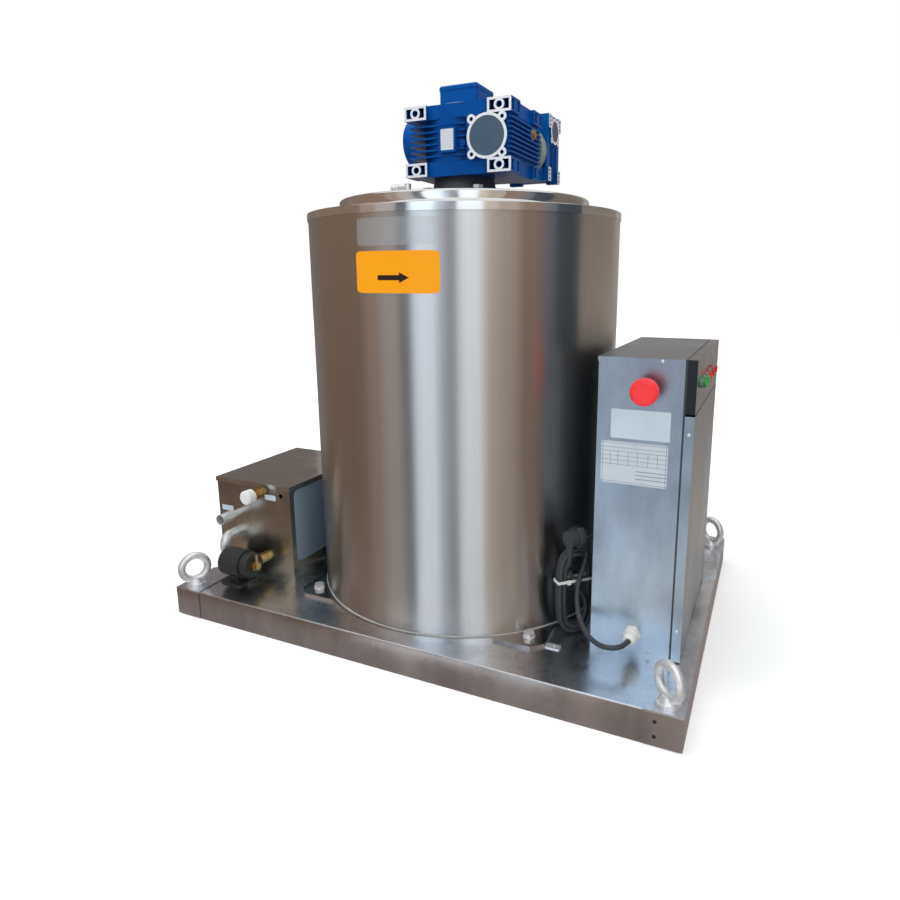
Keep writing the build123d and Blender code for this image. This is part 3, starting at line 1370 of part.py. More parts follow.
# Pressed discs in the blind ends of both worms, and the cover over the hollow shaft's top end
with BuildPart() as gearbox_caps:
    extrude(
        disc(facing_front(MAIN_FRONT + CAP_RECESS), (MAIN_CENTRES, GEARBOX_MIDDLE), MAIN_CAP),
        amount=CAP_RECESS - SLIP,
    )
    extrude(
        disc(facing_right(MAIN_CENTRES + FIRST_DEPTH / 2 - CAP_RECESS), (FIRST_Y, MOTOR_LEVEL), FIRST_CAP),
        amount=CAP_RECESS - SLIP,
    )
    revolve(
        drum_outline(
            [
                (0, GEARBOX_TOP + SLEEVE_PROUD),
                (MAIN_BORE + HUB_WALL, GEARBOX_TOP + SLEEVE_PROUD),
                (MAIN_BORE + HUB_WALL, GEARBOX_TOP),
                (COVER_RADIUS, GEARBOX_TOP),
                (COVER_RADIUS, GEARBOX_TOP + COVER_HEIGHT / 2),
                (COVER_RADIUS - COVER_HEIGHT, GEARBOX_TOP + COVER_HEIGHT),
                (0, GEARBOX_TOP + COVER_HEIGHT),
            ]
        ),
        axis=DRUM_AXIS,
    )
save(gearbox_caps, "gearbox_caps")

# Round flange between the two gearboxes
with BuildPart() as coupling_flange:
    extrude(
        disc(facing_front(FIRST_Y - FIRST_HEIGHT / 2), (MAIN_CENTRES, GEARBOX_MIDDLE), COUPLING_RADIUS),
        amount=COUPLING_LENGTH,
    )
    chamfer(coupling_flange.edges().filter_by(GeomType.CIRCLE), COUPLING_LENGTH / 8)
save(coupling_flange, "coupling_flange")

# Motor: flange, finned body and a closed fan cowl at its left end
MOTOR_AXIS = Axis((0, FIRST_Y, MOTOR_LEVEL), (1, 0, 0))
MOTOR_SECTION = Plane((0, FIRST_Y, MOTOR_LEVEL), x_dir=(1, 0, 0), z_dir=(0, -1, 0))
BODY_RIGHT = MOTOR_FACE - MOTOR_FLANGE_PLATE - MOTOR_NECK
BODY_LEFT = BODY_RIGHT - MOTOR_BODY
with BuildPart() as motor_housing:
    with BuildSketch(MOTOR_SECTION):
        with BuildLine():
            Polyline(
                (BODY_LEFT, 0),
                (BODY_LEFT, MOTOR_CORE),
                (BODY_RIGHT, MOTOR_CORE),
                (BODY_RIGHT, MOTOR_CORE - MOTOR_NECK),
                (MOTOR_FACE - MOTOR_FLANGE_PLATE, MOTOR_CORE - MOTOR_NECK),
                (MOTOR_FACE - MOTOR_FLANGE_PLATE, MOTOR_FLANGE),
                (MOTOR_FACE, MOTOR_FLANGE),
                (MOTOR_FACE, 0),
                close=True,
            )
        make_face()
    revolve(axis=MOTOR_AXIS)
    with BuildSketch(facing_right(BODY_LEFT + MOTOR_NECK)):
        with Locations((FIRST_Y, MOTOR_LEVEL)):
            with PolarLocations(0, MOTOR_FINS):
                with Locations(((MOTOR_CORE + MOTOR_FIN_TIP - MOTOR_FIN) / 2, 0)):
                    Rectangle(MOTOR_FIN_TIP - MOTOR_CORE + MOTOR_FIN, MOTOR_FIN)
    extrude(amount=MOTOR_BODY - 2 * MOTOR_NECK)
save(motor_housing, "motor_housing")

with BuildPart() as motor_fan_cowl:
    with BuildSketch(facing_right(BODY_LEFT)):
        with Locations((FIRST_Y, MOTOR_LEVEL)):
            Circle(COWL_RADIUS)
    extrude(amount=-COWL_LENGTH)
    fillet(motor_fan_cowl.faces().sort_by(Axis.X)[0].edges(), COWL_ROUND)
    with BuildSketch(facing_right(BODY_LEFT - COWL_LENGTH)):
        with Locations((FIRST_Y, MOTOR_LEVEL)):
            with PolarLocations(COWL_SLOT_CIRCLE, COWL_SLOTS):
                SlotOverall(COWL_SLOT_LENGTH, COWL_SLOT)
    extrude(amount=COWL_SLOT_DEPTH, mode=Mode.SUBTRACT)
save(motor_fan_cowl, "motor_fan_cowl")

# Terminal box on top of the motor, with an overhanging lid
TERMINAL_X = BODY_RIGHT - TERMINAL_OFFSET
TERMINAL_FOOT = MOTOR_LEVEL + sqrt(MOTOR_CORE**2 - (TERMINAL_SIZE / 4) ** 2)
TERMINAL_SEAT = MOTOR_LEVEL + MOTOR_FIN_TIP
with BuildPart() as terminal_box:
    with BuildSketch(level(TERMINAL_SEAT)):
        with Locations((TERMINAL_X, FIRST_Y)):
            RectangleRounded(TERMINAL_SIZE, TERMINAL_SIZE, TERMINAL_ROUND)
    extrude(amount=TERMINAL_HEIGHT)
    with BuildSketch(level(TERMINAL_FOOT)):
        with Locations((TERMINAL_X, FIRST_Y)):
            Rectangle(TERMINAL_NECK, TERMINAL_SIZE / 2)
    extrude(amount=TERMINAL_SEAT - TERMINAL_FOOT)
    extrude(
        disc(facing_right(0), (FIRST_Y, MOTOR_LEVEL), MOTOR_FIN_TIP + SLIP),
        amount=-2 * MOTOR_BODY,
        mode=Mode.SUBTRACT,
    )
    with BuildSketch(level(TERMINAL_SEAT + TERMINAL_HEIGHT)):
        with Locations((TERMINAL_X, FIRST_Y)):
            RectangleRounded(TERMINAL_SIZE + TERMINAL_LIP, TERMINAL_SIZE + TERMINAL_LIP, TERMINAL_ROUND)
    extrude(amount=TERMINAL_LID)
    chamfer(terminal_box.faces().sort_by(Axis.Z)[-1].edges(), TERMINAL_LID / 3)
save(terminal_box, "terminal_box")

# Brass oil plug in the main gearbox's right face
with BuildPart() as oil_plug:
    seat = facing_right(MAIN_RIGHT_FACE)
    extrude(hexagon(seat, OIL_PLUG_PLACE, OIL_PLUG_FLATS), amount=OIL_PLUG_HEAD)
    extrude(disc(seat, OIL_PLUG_PLACE, OIL_PLUG_SEAT), amount=OIL_PLUG_WASHER)
save(oil_plug, "oil_plug")

# Tank: a folded box on the bed, its right rear corner cut off to clear the drum
TANK_RIGHT = -(DRUM_RADIUS - TANK_GAP)
TANK_LEFT = TANK_RIGHT - TANK_WIDTH
TANK_Y = DRUM_Y - TANK_FRONT
TANK_BACK = TANK_Y + TANK_DEPTH
TANK_TOP = BASE_HEIGHT + TANK_HEIGHT
TANK_CORNERS = [
    (TANK_LEFT, TANK_Y),
    (TANK_RIGHT, TANK_Y),
    (TANK_RIGHT, TANK_BACK - TANK_CUT_BACK),
    (TANK_RIGHT - TANK_CUT_ACROSS, TANK_BACK),
    (TANK_LEFT, TANK_BACK),
]
DRAIN_SLOPE = (DRUM_Y - TANK_BACK + TANK_CUT_BACK) / TANK_CUT_BACK
DRAIN_END = TANK_RIGHT - TANK_CUT_ACROSS * DRAIN_SLOPE - DRAIN_INTO_TANK
INLET = (TANK_RIGHT - INLET_IN, TANK_TOP - INLET_DROP)
SPARE_HOLE = (TANK_RIGHT - SPARE_HOLE_IN, TANK_TOP - INLET_DROP)
OVERFLOW = (TANK_RIGHT - OVERFLOW_IN, BASE_HEIGHT + OVERFLOW_HEIGHT)
ELBOW = (TANK_RIGHT - ELBOW_IN, BASE_HEIGHT + ELBOW_HEIGHT)
PUMP_X = TANK_RIGHT - PUMP_IN
PUMP_Y = TANK_Y - PUMP_FORWARD
PUMP_Z = BASE_HEIGHT + PUMP_HEIGHT
VOLUTE_X = PUMP_X + PUMP_LENGTH / 2 + VOLUTE_LENGTH / 2
FRONT_HOLES = [
    (INLET, INLET_THREAD),
    (SPARE_HOLE, SPARE_HOLE_RADIUS),
    (OVERFLOW, OVERFLOW_PIPE),
    (ELBOW, ELBOW_PIPE),
    ((VOLUTE_X, PUMP_Z), PUMP_PORT),
]


def tank_outline(z, grow):
    """The tank's plan outline at height z, moved out by grow."""
    with BuildSketch(level(z)) as outline:
        with BuildLine():
            Polyline(*TANK_CORNERS, close=True)
        make_face()
        if grow:
            offset(amount=grow, kind=Kind.INTERSECTION, mode=Mode.REPLACE)
    return outline.sketch


with BuildPart() as tank_body:
    extrude(tank_outline(BASE_HEIGHT, 0), amount=TANK_HEIGHT)
    extrude(tank_outline(BASE_HEIGHT + TANK_SHEET, -TANK_SHEET), amount=TANK_HEIGHT, mode=Mode.SUBTRACT)
    for place, radius in FRONT_HOLES:
        extrude(
            disc(facing_front(TANK_Y), place, radius + SLIP), amount=-2 * TANK_SHEET, mode=Mode.SUBTRACT
        )
    extrude(
        disc(
            facing_right(DRAIN_END + DRAIN_INTO_TANK + DRAIN_RADIUS),
            (DRUM_Y, DRAIN_LEVEL),
            DRAIN_RADIUS + SLIP,
        ),
        amount=-DRAIN_INTO_TANK - DRAIN_RADIUS,
        mode=Mode.SUBTRACT,
    )
save(tank_body, "tank_body")

with BuildPart() as tank_lid:
    extrude(tank_outline(TANK_TOP - TANK_LID_LIP, TANK_LID_OVERHANG), amount=TANK_LID_LIP + TANK_SHEET)
    extrude(
        tank_outline(TANK_TOP - TANK_LID_LIP, TANK_LID_PLAY), amount=TANK_LID_LIP, mode=Mode.SUBTRACT
    )
save(tank_lid, "tank_lid")

# Drain pipe from the gutter to the tank
DRAIN_START = -(GUTTER_OUTER - GUTTER_SHEET)
with BuildPart() as gutter_drain:
    extrude(
        disc(facing_right(DRAIN_END), (DRUM_Y, DRAIN_LEVEL), DRAIN_RADIUS),
        amount=DRAIN_START - DRAIN_END,
    )
    extrude(
        disc(facing_right(DRAIN_END), (DRUM_Y, DRAIN_LEVEL), DRAIN_RADIUS - DRAIN_WALL),
        amount=DRAIN_START - DRAIN_END,
        mode=Mode.SUBTRACT,
    )
save(gutter_drain, "gutter_drain")

# Brass water inlet with a washer outside and a nut inside the tank
TANK_INNER_Y = TANK_Y + TANK_SHEET
INLET_HEX_FACE = TANK_Y - INLET_WASHER_SHEET
FLOAT_PIVOT_Y = TANK_INNER_Y + FLOAT_PIVOT_IN
EAR_SPACE = FLOAT_HUB_WIDTH / 2 + 2 * SLIP
with BuildPart() as inlet_valve:
    extrude(disc(facing_front(TANK_Y), INLET, INLET_WASHER), amount=INLET_WASHER_SHEET)
    extrude(hexagon(facing_front(INLET_HEX_FACE), INLET, INLET_HEX), amount=INLET_HEX_LENGTH)
    extrude(disc(facing_front(TANK_Y), INLET, INLET_NOSE), amount=INLET_NOSE_REACH)
    extrude(disc(facing_front(TANK_Y), INLET, INLET_THREAD), amount=-TANK_SHEET)
    extrude(hexagon(facing_front(TANK_INNER_Y), INLET, INLET_HEX), amount=-INLET_NUT)
    extrude(disc(facing_front(TANK_INNER_Y), INLET, FLOAT_BODY), amount=-(FLOAT_PIVOT_IN - FLOAT_HUB - 1))
    for side in (-1, 1):
        with BuildSketch(facing_right(INLET[0] + side * EAR_SPACE)):
            with Locations((FLOAT_PIVOT_Y - FLOAT_HUB, INLET[1])):
                Rectangle(4 * FLOAT_HUB, 2 * FLOAT_HUB)
        extrude(amount=side * FLOAT_EAR)
    with BuildSketch(facing_right(INLET[0] - EAR_SPACE - FLOAT_EAR)):
        with Locations((FLOAT_PIVOT_Y, INLET[1])):
            Circle(FLOAT_PIN)
    extrude(amount=2 * (EAR_SPACE + FLOAT_EAR))
save(inlet_valve, "inlet_valve")

with BuildPart() as inlet_cap:
    extrude(
        disc(facing_front(TANK_Y - INLET_CAP_START), INLET, INLET_CAP), amount=INLET_CAP_LENGTH
    )
    chamfer(inlet_cap.faces().sort_by(Axis.Y)[0].edges(), PANEL_GAP)
    extrude(
        disc(facing_front(TANK_Y - INLET_CAP_START), INLET, INLET_NOSE + SLIP),
        amount=INLET_NOSE_REACH - INLET_CAP_START,
        mode=Mode.SUBTRACT,
    )
save(inlet_cap, "inlet_cap")

# Float arm with its ball, which swings on the inlet valve's pin
FLOAT_END_Y = FLOAT_PIVOT_Y + FLOAT_ARM_LENGTH
FLOAT_END_Z = INLET[1] - FLOAT_DROP
with BuildPart() as float_arm:
    with BuildLine():
        FilletPolyline(
            (INLET[0], FLOAT_PIVOT_Y, INLET[1]),
            (INLET[0], FLOAT_PIVOT_Y + FLOAT_ARM_LENGTH / 3, INLET[1]),
            (INLET[0], FLOAT_END_Y, FLOAT_END_Z),
            radius=FLOAT_RADIUS,
        )
    with BuildSketch(facing_front(FLOAT_PIVOT_Y)):
        with Locations(INLET):
            Circle(FLOAT_ARM)
    sweep()
    with Locations((INLET[0], FLOAT_END_Y, FLOAT_END_Z)):
        Sphere(FLOAT_RADIUS)
    with BuildSketch(facing_right(INLET[0] - FLOAT_HUB_WIDTH / 2)):
        with Locations((FLOAT_PIVOT_Y, INLET[1])):
            Circle(FLOAT_HUB)
    extrude(amount=FLOAT_HUB_WIDTH)
    with BuildSketch(facing_right(INLET[0] - FLOAT_HUB_WIDTH / 2)):
        with Locations((FLOAT_PIVOT_Y, INLET[1])):
            Circle(FLOAT_PIN + RUNNING)
    extrude(amount=FLOAT_HUB_WIDTH, mode=Mode.SUBTRACT)
save(float_arm, "float_arm")

# Overflow pipe with a wider mouth, and the elbow that turns down beside it
OVERFLOW_STEP_Y = TANK_Y - OVERFLOW_NARROW
ELBOW_TURN_Y = TANK_Y - ELBOW_REACH - ELBOW_BEND
with BuildPart() as tank_pipes:
    extrude(
        disc(facing_front(TANK_Y + OVERFLOW_INSIDE), OVERFLOW, OVERFLOW_PIPE),
        amount=OVERFLOW_INSIDE + OVERFLOW_NARROW,
    )
    extrude(disc(facing_front(OVERFLOW_STEP_Y), OVERFLOW, OVERFLOW_SOCKET), amount=OVERFLOW_WIDE)
    extrude(
        disc(facing_front(OVERFLOW_STEP_Y - OVERFLOW_WALL), OVERFLOW, OVERFLOW_SOCKET - OVERFLOW_WALL),
        amount=OVERFLOW_WIDE,
        mode=Mode.SUBTRACT,
    )
    extrude(
        disc(facing_front(TANK_Y + OVERFLOW_INSIDE), OVERFLOW, OVERFLOW_PIPE - OVERFLOW_WALL),
        amount=OVERFLOW_INSIDE + OVERFLOW_NARROW + OVERFLOW_WALL,
        mode=Mode.SUBTRACT,
    )
    with BuildLine() as elbow_line:
        FilletPolyline(
            (ELBOW[0], TANK_INNER_Y, ELBOW[1]),
            (ELBOW[0], ELBOW_TURN_Y, ELBOW[1]),
            (ELBOW[0], ELBOW_TURN_Y, ELBOW[1] - ELBOW_DROP),
            radius=ELBOW_BEND,
        )
    with BuildSketch(facing_front(TANK_INNER_Y)):
        with Locations(ELBOW):
            Circle(ELBOW_PIPE)
            Circle(ELBOW_PIPE - ELBOW_WALL, mode=Mode.SUBTRACT)
    sweep(path=elbow_line.line)
save(tank_pipes, "tank_pipes")

# Circulating pump on a foot in front of the tank, with its port to the tank and a bleed pipe
PUMP_LEFT = PUMP_X - PUMP_LENGTH / 2
PUMP_RIGHT = PUMP_X + PUMP_LENGTH / 2
with BuildPart() as circulating_pump:
    extrude(disc(facing_right(PUMP_LEFT), (PUMP_Y, PUMP_Z), PUMP_RADIUS), amount=PUMP_LENGTH)
    fillet(circulating_pump.faces().sort_by(Axis.X)[0].edges(), PUMP_COVER)
    extrude(disc(facing_right(PUMP_RIGHT), (PUMP_Y, PUMP_Z), VOLUTE_RADIUS), amount=VOLUTE_LENGTH)
    fillet(circulating_pump.faces().sort_by(Axis.X)[-1].edges(), PUMP_FOOT)
    with BuildSketch(level(BASE_HEIGHT)):
        with Locations((PUMP_X, PUMP_Y)):
            RectangleRounded(PUMP_LENGTH, PUMP_FOOT_WIDTH, PUMP_FOOT)
    extrude(amount=PUMP_FOOT)
    with BuildSketch(level(BASE_HEIGHT)):
        with Locations((PUMP_X, PUMP_Y)):
            Rectangle(PUMP_POST, PUMP_POST)
    extrude(amount=PUMP_HEIGHT)
save(circulating_pump, "circulating_pump")

PORT_START = PUMP_Y + VOLUTE_RADIUS + SLIP
BLEED_X = VOLUTE_X + VOLUTE_LENGTH / 2
with BuildPart() as pump_unions:
    extrude(hexagon(facing_front(PORT_START), (VOLUTE_X, PUMP_Z), UNION_FLATS), amount=PORT_START - TANK_Y)
    extrude(disc(facing_front(TANK_Y), (VOLUTE_X, PUMP_Z), PUMP_PORT), amount=-TANK_SHEET)
    extrude(hexagon(facing_right(BLEED_X), (PUMP_Y, PUMP_Z), UNION_FLATS), amount=UNION_LENGTH / 2)
    with BuildSketch(facing_right(BLEED_X)):
        with Locations((PUMP_Y, PUMP_Z)):
            Circle(PUMP_PORT)
    extrude(amount=UNION_LENGTH)
    with BuildSketch(level(PUMP_Z)):
        with Locations((BLEED_X + UNION_LENGTH - 1.5 * BLEED_PIPE, PUMP_Y)):
            Circle(BLEED_PIPE)
    extrude(amount=PUMP_PORT + BLEED_LENGTH)
save(pump_unions, "pump_unions")

# Cabinet: a folded box that opens to the right, with a lipped top
CABINET_LEFT = DRUM_RADIUS + CABINET_GAP
CABINET_RIGHT = CABINET_LEFT + CABINET_WIDTH
CABINET_Y = DRUM_Y - CABINET_FRONT
CABINET_MIDDLE = CABINET_Y + CABINET_DEPTH / 2
CABINET_ROOF = BASE_HEIGHT + CABINET_HEIGHT
CABINET_TOP = CABINET_ROOF + CABINET_SHEET
PANEL_FOOT = CABINET_TOP - PANEL_HEIGHT
COVER_TOP = PANEL_FOOT - PANEL_GAP
SEAM = PANEL_FOOT - PANEL_GAP / 2
OPEN_WIDTH = CABINET_DEPTH - 2 * CABINET_RETURN
LOWER_OPENING = SEAM - CABINET_RAIL / 2 - BASE_HEIGHT - CABINET_RETURN
UPPER_OPENING = CABINET_ROOF - CABINET_RETURN - SEAM - CABINET_RAIL / 2
LOWER_MIDDLE = BASE_HEIGHT + CABINET_RETURN + LOWER_OPENING / 2
UPPER_MIDDLE = SEAM + CABINET_RAIL / 2 + UPPER_OPENING / 2
ESTOP = (CABINET_LEFT + ESTOP_IN, CABINET_TOP - ESTOP_DROP)
GLAND = (CABINET_LEFT + GLAND_IN, BASE_HEIGHT + GLAND_HEIGHT)
with BuildPart() as cabinet_body:
    with BuildSketch(facing_right(CABINET_LEFT)):
        with Locations((CABINET_MIDDLE, (BASE_HEIGHT + CABINET_TOP) / 2)):
            Rectangle(CABINET_DEPTH, CABINET_TOP - BASE_HEIGHT)
    extrude(amount=CABINET_WIDTH)
    with BuildSketch(facing_right(CABINET_LEFT - CABINET_OVERHANG)):
        with Locations((CABINET_MIDDLE, CABINET_TOP - CABINET_TOP_LIP / 2)):
            Rectangle(CABINET_DEPTH + 2 * CABINET_OVERHANG, CABINET_TOP_LIP)
    extrude(amount=CABINET_WIDTH + CABINET_OVERHANG)
    with BuildSketch(facing_right(CABINET_LEFT + CABINET_SHEET)):
        with Locations((CABINET_MIDDLE, (BASE_HEIGHT + CABINET_ROOF + CABINET_SHEET) / 2)):
            Rectangle(CABINET_DEPTH - 2 * CABINET_SHEET, CABINET_HEIGHT - CABINET_SHEET)
    extrude(amount=CABINET_WIDTH - 2 * CABINET_SHEET, mode=Mode.SUBTRACT)
    with BuildSketch(facing_right(CABINET_RIGHT)):
        with Locations((CABINET_MIDDLE, LOWER_MIDDLE)):
            Rectangle(OPEN_WIDTH, LOWER_OPENING)
        with Locations((CABINET_MIDDLE, UPPER_MIDDLE)):
            Rectangle(OPEN_WIDTH, UPPER_OPENING)
    extrude(amount=-2 * CABINET_SHEET, mode=Mode.SUBTRACT)
    for place, radius in ((ESTOP, ESTOP_BARREL), (GLAND, GLAND_THREAD)):
        extrude(
            disc(facing_front(CABINET_Y), place, radius + SLIP),
            amount=-2 * CABINET_SHEET,
            mode=Mode.SUBTRACT,
        )
save(cabinet_body, "cabinet_body")

with BuildPart() as cabinet_gasket:
    with BuildSketch(facing_right(CABINET_RIGHT)):
        with Locations((CABINET_MIDDLE, (BASE_HEIGHT + CABINET_TOP) / 2)):
            Rectangle(CABINET_DEPTH, CABINET_TOP - BASE_HEIGHT)
        with Locations((CABINET_MIDDLE, (BASE_HEIGHT + GASKET_WIDTH + SEAM - GASKET_WIDTH / 2) / 2)):
            Rectangle(
                CABINET_DEPTH - 2 * GASKET_WIDTH,
                SEAM - BASE_HEIGHT - 1.5 * GASKET_WIDTH,
                mode=Mode.SUBTRACT,
            )
        with Locations((CABINET_MIDDLE, (SEAM + CABINET_TOP - GASKET_WIDTH / 2) / 2)):
            Rectangle(
                CABINET_DEPTH - 2 * GASKET_WIDTH,
                CABINET_TOP - SEAM - 1.5 * GASKET_WIDTH,
                mode=Mode.SUBTRACT,
            )
    extrude(amount=GASKET)
save(cabinet_gasket, "cabinet_gasket")

# Screwed cover over the lower opening and the control panel above it, both shallow trays
PANEL_BACK = CABINET_RIGHT + GASKET
PANEL_FACE = PANEL_BACK + PANEL_DEPTH
COVER_FOOT = BASE_HEIGHT + PANEL_SILL
LAMP_POINTS = [(CABINET_Y + place, CABINET_TOP - LAMP_DROP) for place in LAMP_PLACES]


def shallow_tray(foot, top):
    """Outline solid of a tray that faces right, with its rim on the gasket."""
    with BuildPart() as tray:
        with BuildSketch(facing_right(PANEL_BACK)):
            with Locations((CABINET_MIDDLE, (foot + top) / 2)):
                Rectangle(CABINET_DEPTH, top - foot)
        extrude(amount=PANEL_DEPTH)
        fillet(tray.edges().filter_by(Axis.X), CABINET_SHEET)
        with BuildSketch(facing_right(PANEL_BACK)):
            with Locations((CABINET_MIDDLE, (foot + top) / 2)):
                Rectangle(CABINET_DEPTH - 2 * CABINET_SHEET, top - foot - 2 * CABINET_SHEET)
        extrude(amount=PANEL_DEPTH - CABINET_SHEET, mode=Mode.SUBTRACT)
    return tray.part


with BuildPart() as cabinet_cover:
    add(shallow_tray(COVER_FOOT, COVER_TOP))
save(cabinet_cover, "cabinet_cover")

with BuildPart() as control_panel:
    add(shallow_tray(PANEL_FOOT, CABINET_TOP))
    with BuildSketch(facing_right(PANEL_FACE)):
        with Locations(*LAMP_POINTS):
            Circle(LAMP_STEM + SLIP)
    extrude(amount=-2 * CABINET_SHEET, mode=Mode.SUBTRACT)
save(control_panel, "control_panel")

# Indicator lamps: bezel, domed lens and a stem through the panel
with BuildPart() as indicator_lamps:
    with BuildSketch(facing_right(PANEL_FACE)):
        with Locations(*LAMP_POINTS):
            Circle(LAMP_BEZEL)
    extrude(amount=LAMP_BEZEL_HEIGHT)
    with BuildSketch(facing_right(PANEL_FACE + LAMP_BEZEL_HEIGHT)):
        with Locations(*LAMP_POINTS):
            Circle(LAMP_RADIUS)
    extrude(amount=LAMP_HEIGHT - LAMP_BEZEL_HEIGHT)
    fillet(indicator_lamps.edges().group_by(Axis.X)[-1], LAMP_BEZEL_HEIGHT)
    with BuildSketch(facing_right(PANEL_FACE)):
        with Locations(*LAMP_POINTS):
            Circle(LAMP_STEM)
    extrude(amount=-LAMP_STEM_LENGTH)
save(indicator_lamps, "indicator_lamps")

# Component plate on stand-offs with its mounting rails
PLATE_BACK = CABINET_LEFT + CABINET_SHEET + CHASSIS_STANDOFF
PLATE_FACE = PLATE_BACK + CHASSIS_SHEET
RAIL_FACE = PLATE_FACE + RAIL_DEPTH
PLATE_DEPTH = CABINET_DEPTH - 2 * CHASSIS_MARGIN
PLATE_TALL = CABINET_HEIGHT - 3 * CHASSIS_MARGIN
PLATE_MIDDLE = BASE_HEIGHT + CHASSIS_MARGIN + PLATE_TALL / 2
with BuildPart() as component_plate:
    with BuildSketch(facing_right(PLATE_BACK)):
        with Locations((CABINET_MIDDLE, PLATE_MIDDLE)):
            Rectangle(PLATE_DEPTH, PLATE_TALL)
    extrude(amount=CHASSIS_SHEET)
    with BuildSketch(facing_right(PLATE_BACK)):
        with Locations((CABINET_MIDDLE, PLATE_MIDDLE)):
            with GridLocations(PLATE_DEPTH - CHASSIS_MARGIN, PLATE_TALL - CHASSIS_MARGIN, 2, 2):
                Circle(STANDOFF_RADIUS)
    extrude(amount=-CHASSIS_STANDOFF)
    for rail_height in RAIL_HEIGHTS:
        rail_centre = (CABINET_MIDDLE, BASE_HEIGHT + rail_height)
        rail_length = PLATE_DEPTH - CHASSIS_MARGIN
        with BuildSketch(facing_right(PLATE_FACE)):
            with Locations(rail_centre):
                Rectangle(rail_length, RAIL_WIDTH - RAIL_DEPTH)
        extrude(amount=RAIL_DEPTH - RAIL_SHEET)
        with BuildSketch(facing_right(RAIL_FACE - RAIL_SHEET)):
            with Locations(rail_centre):
                Rectangle(rail_length, RAIL_WIDTH)
        extrude(amount=RAIL_SHEET)
        with BuildSketch(facing_right(PLATE_FACE + RAIL_SHEET)):
            with Locations(rail_centre):
                Rectangle(rail_length, RAIL_WIDTH - RAIL_DEPTH - 2 * RAIL_SHEET)
        extrude(amount=RAIL_DEPTH, mode=Mode.SUBTRACT)
save(component_plate, "component_plate")


def rail_part(place, rail_height, size):
    """Stepped block on a rail, centred at a place along the cabinet's depth."""
    width, height, depth = size
    with BuildPart() as block:
        with BuildSketch(facing_right(RAIL_FACE)):
            with Locations((place, BASE_HEIGHT + rail_height)):
                Rectangle(width, height)
        extrude(amount=depth * SHOULDER_SHARE)
        with BuildSketch(facing_right(RAIL_FACE)):
            with Locations((place, BASE_HEIGHT + rail_height)):
                Rectangle(width, height * NOSE_SHARE)
        extrude(amount=depth)
    return block.part


# Contactors, breakers, controller and terminal blocks on the rails
PARTS_START = CABINET_MIDDLE - PLATE_DEPTH / 2 + CHASSIS_MARGIN
with BuildPart() as electrical_parts:
    for number in range(CONTACTORS):
        contactor_place = PARTS_START + (CONTACTOR[0] + PART_SPACE) * (number + 0.5)
        add(rail_part(contactor_place, RAIL_HEIGHTS[1], CONTACTOR))
    for number in range(BREAKERS):
        breaker_place = PARTS_START + (BREAKER[0] + SLIP) * (number + 0.5)
        add(rail_part(breaker_place, RAIL_HEIGHTS[0], BREAKER))
    add(rail_part(CABINET_MIDDLE + CONTROLLER[0] / 2 - PART_SPACE, RAIL_HEIGHTS[0], CONTROLLER))
    for number in range(CLAMP_BLOCKS):
        block_place = PARTS_START + (CLAMP_BLOCK[0] + SLIP) * (number + 0.5)
        add(rail_part(block_place, RAIL_HEIGHTS[2], CLAMP_BLOCK))
save(electrical_parts, "electrical_parts")

# Emergency stop: fixed collar, barrel and contact block
COLLAR_FACE = CABINET_Y - ESTOP_COLLAR_HEIGHT
BARREL_END = CABINET_Y + CABINET_SHEET + ESTOP_BARREL_DEPTH
STEM_END = CABINET_Y + CABINET_SHEET + ESTOP_STEM_INSIDE
with BuildPart() as estop_base:
    extrude(disc(facing_front(CABINET_Y), ESTOP, ESTOP_COLLAR), amount=ESTOP_COLLAR_HEIGHT)
    chamfer(estop_base.faces().sort_by(Axis.Y)[0].edges(), PANEL_GAP)
    extrude(
        disc(facing_front(CABINET_Y), ESTOP, ESTOP_NECK + 2 * SLIP),
        amount=ESTOP_COLLAR_HEIGHT,
        mode=Mode.SUBTRACT,
    )
    extrude(disc(facing_front(BARREL_END), ESTOP, ESTOP_BARREL), amount=BARREL_END - CABINET_Y)
    with BuildSketch(facing_front(BARREL_END + ESTOP_BLOCK_DEPTH)):
        with Locations(ESTOP):
            Rectangle(ESTOP_BLOCK, ESTOP_BLOCK)
    extrude(amount=ESTOP_BLOCK_DEPTH)
    extrude(
        disc(facing_front(CABINET_Y), ESTOP, ESTOP_STEM + RUNNING),
        amount=-(STEM_END - CABINET_Y + 2 * ESTOP_TRAVEL),
        mode=Mode.SUBTRACT,
    )
save(estop_base, "estop_base")

# Stem that slides in the barrel
HEAD_BACK = COLLAR_FACE - ESTOP_HEAD_GAP
HEAD_FACE = HEAD_BACK - ESTOP_HEAD_HEIGHT
STEM_FACE = HEAD_BACK - ESTOP_HEAD_HEIGHT / 2
with BuildPart() as estop_stem:
    extrude(disc(facing_front(STEM_END), ESTOP, ESTOP_STEM), amount=STEM_END - STEM_FACE)
save(estop_stem, "estop_stem")

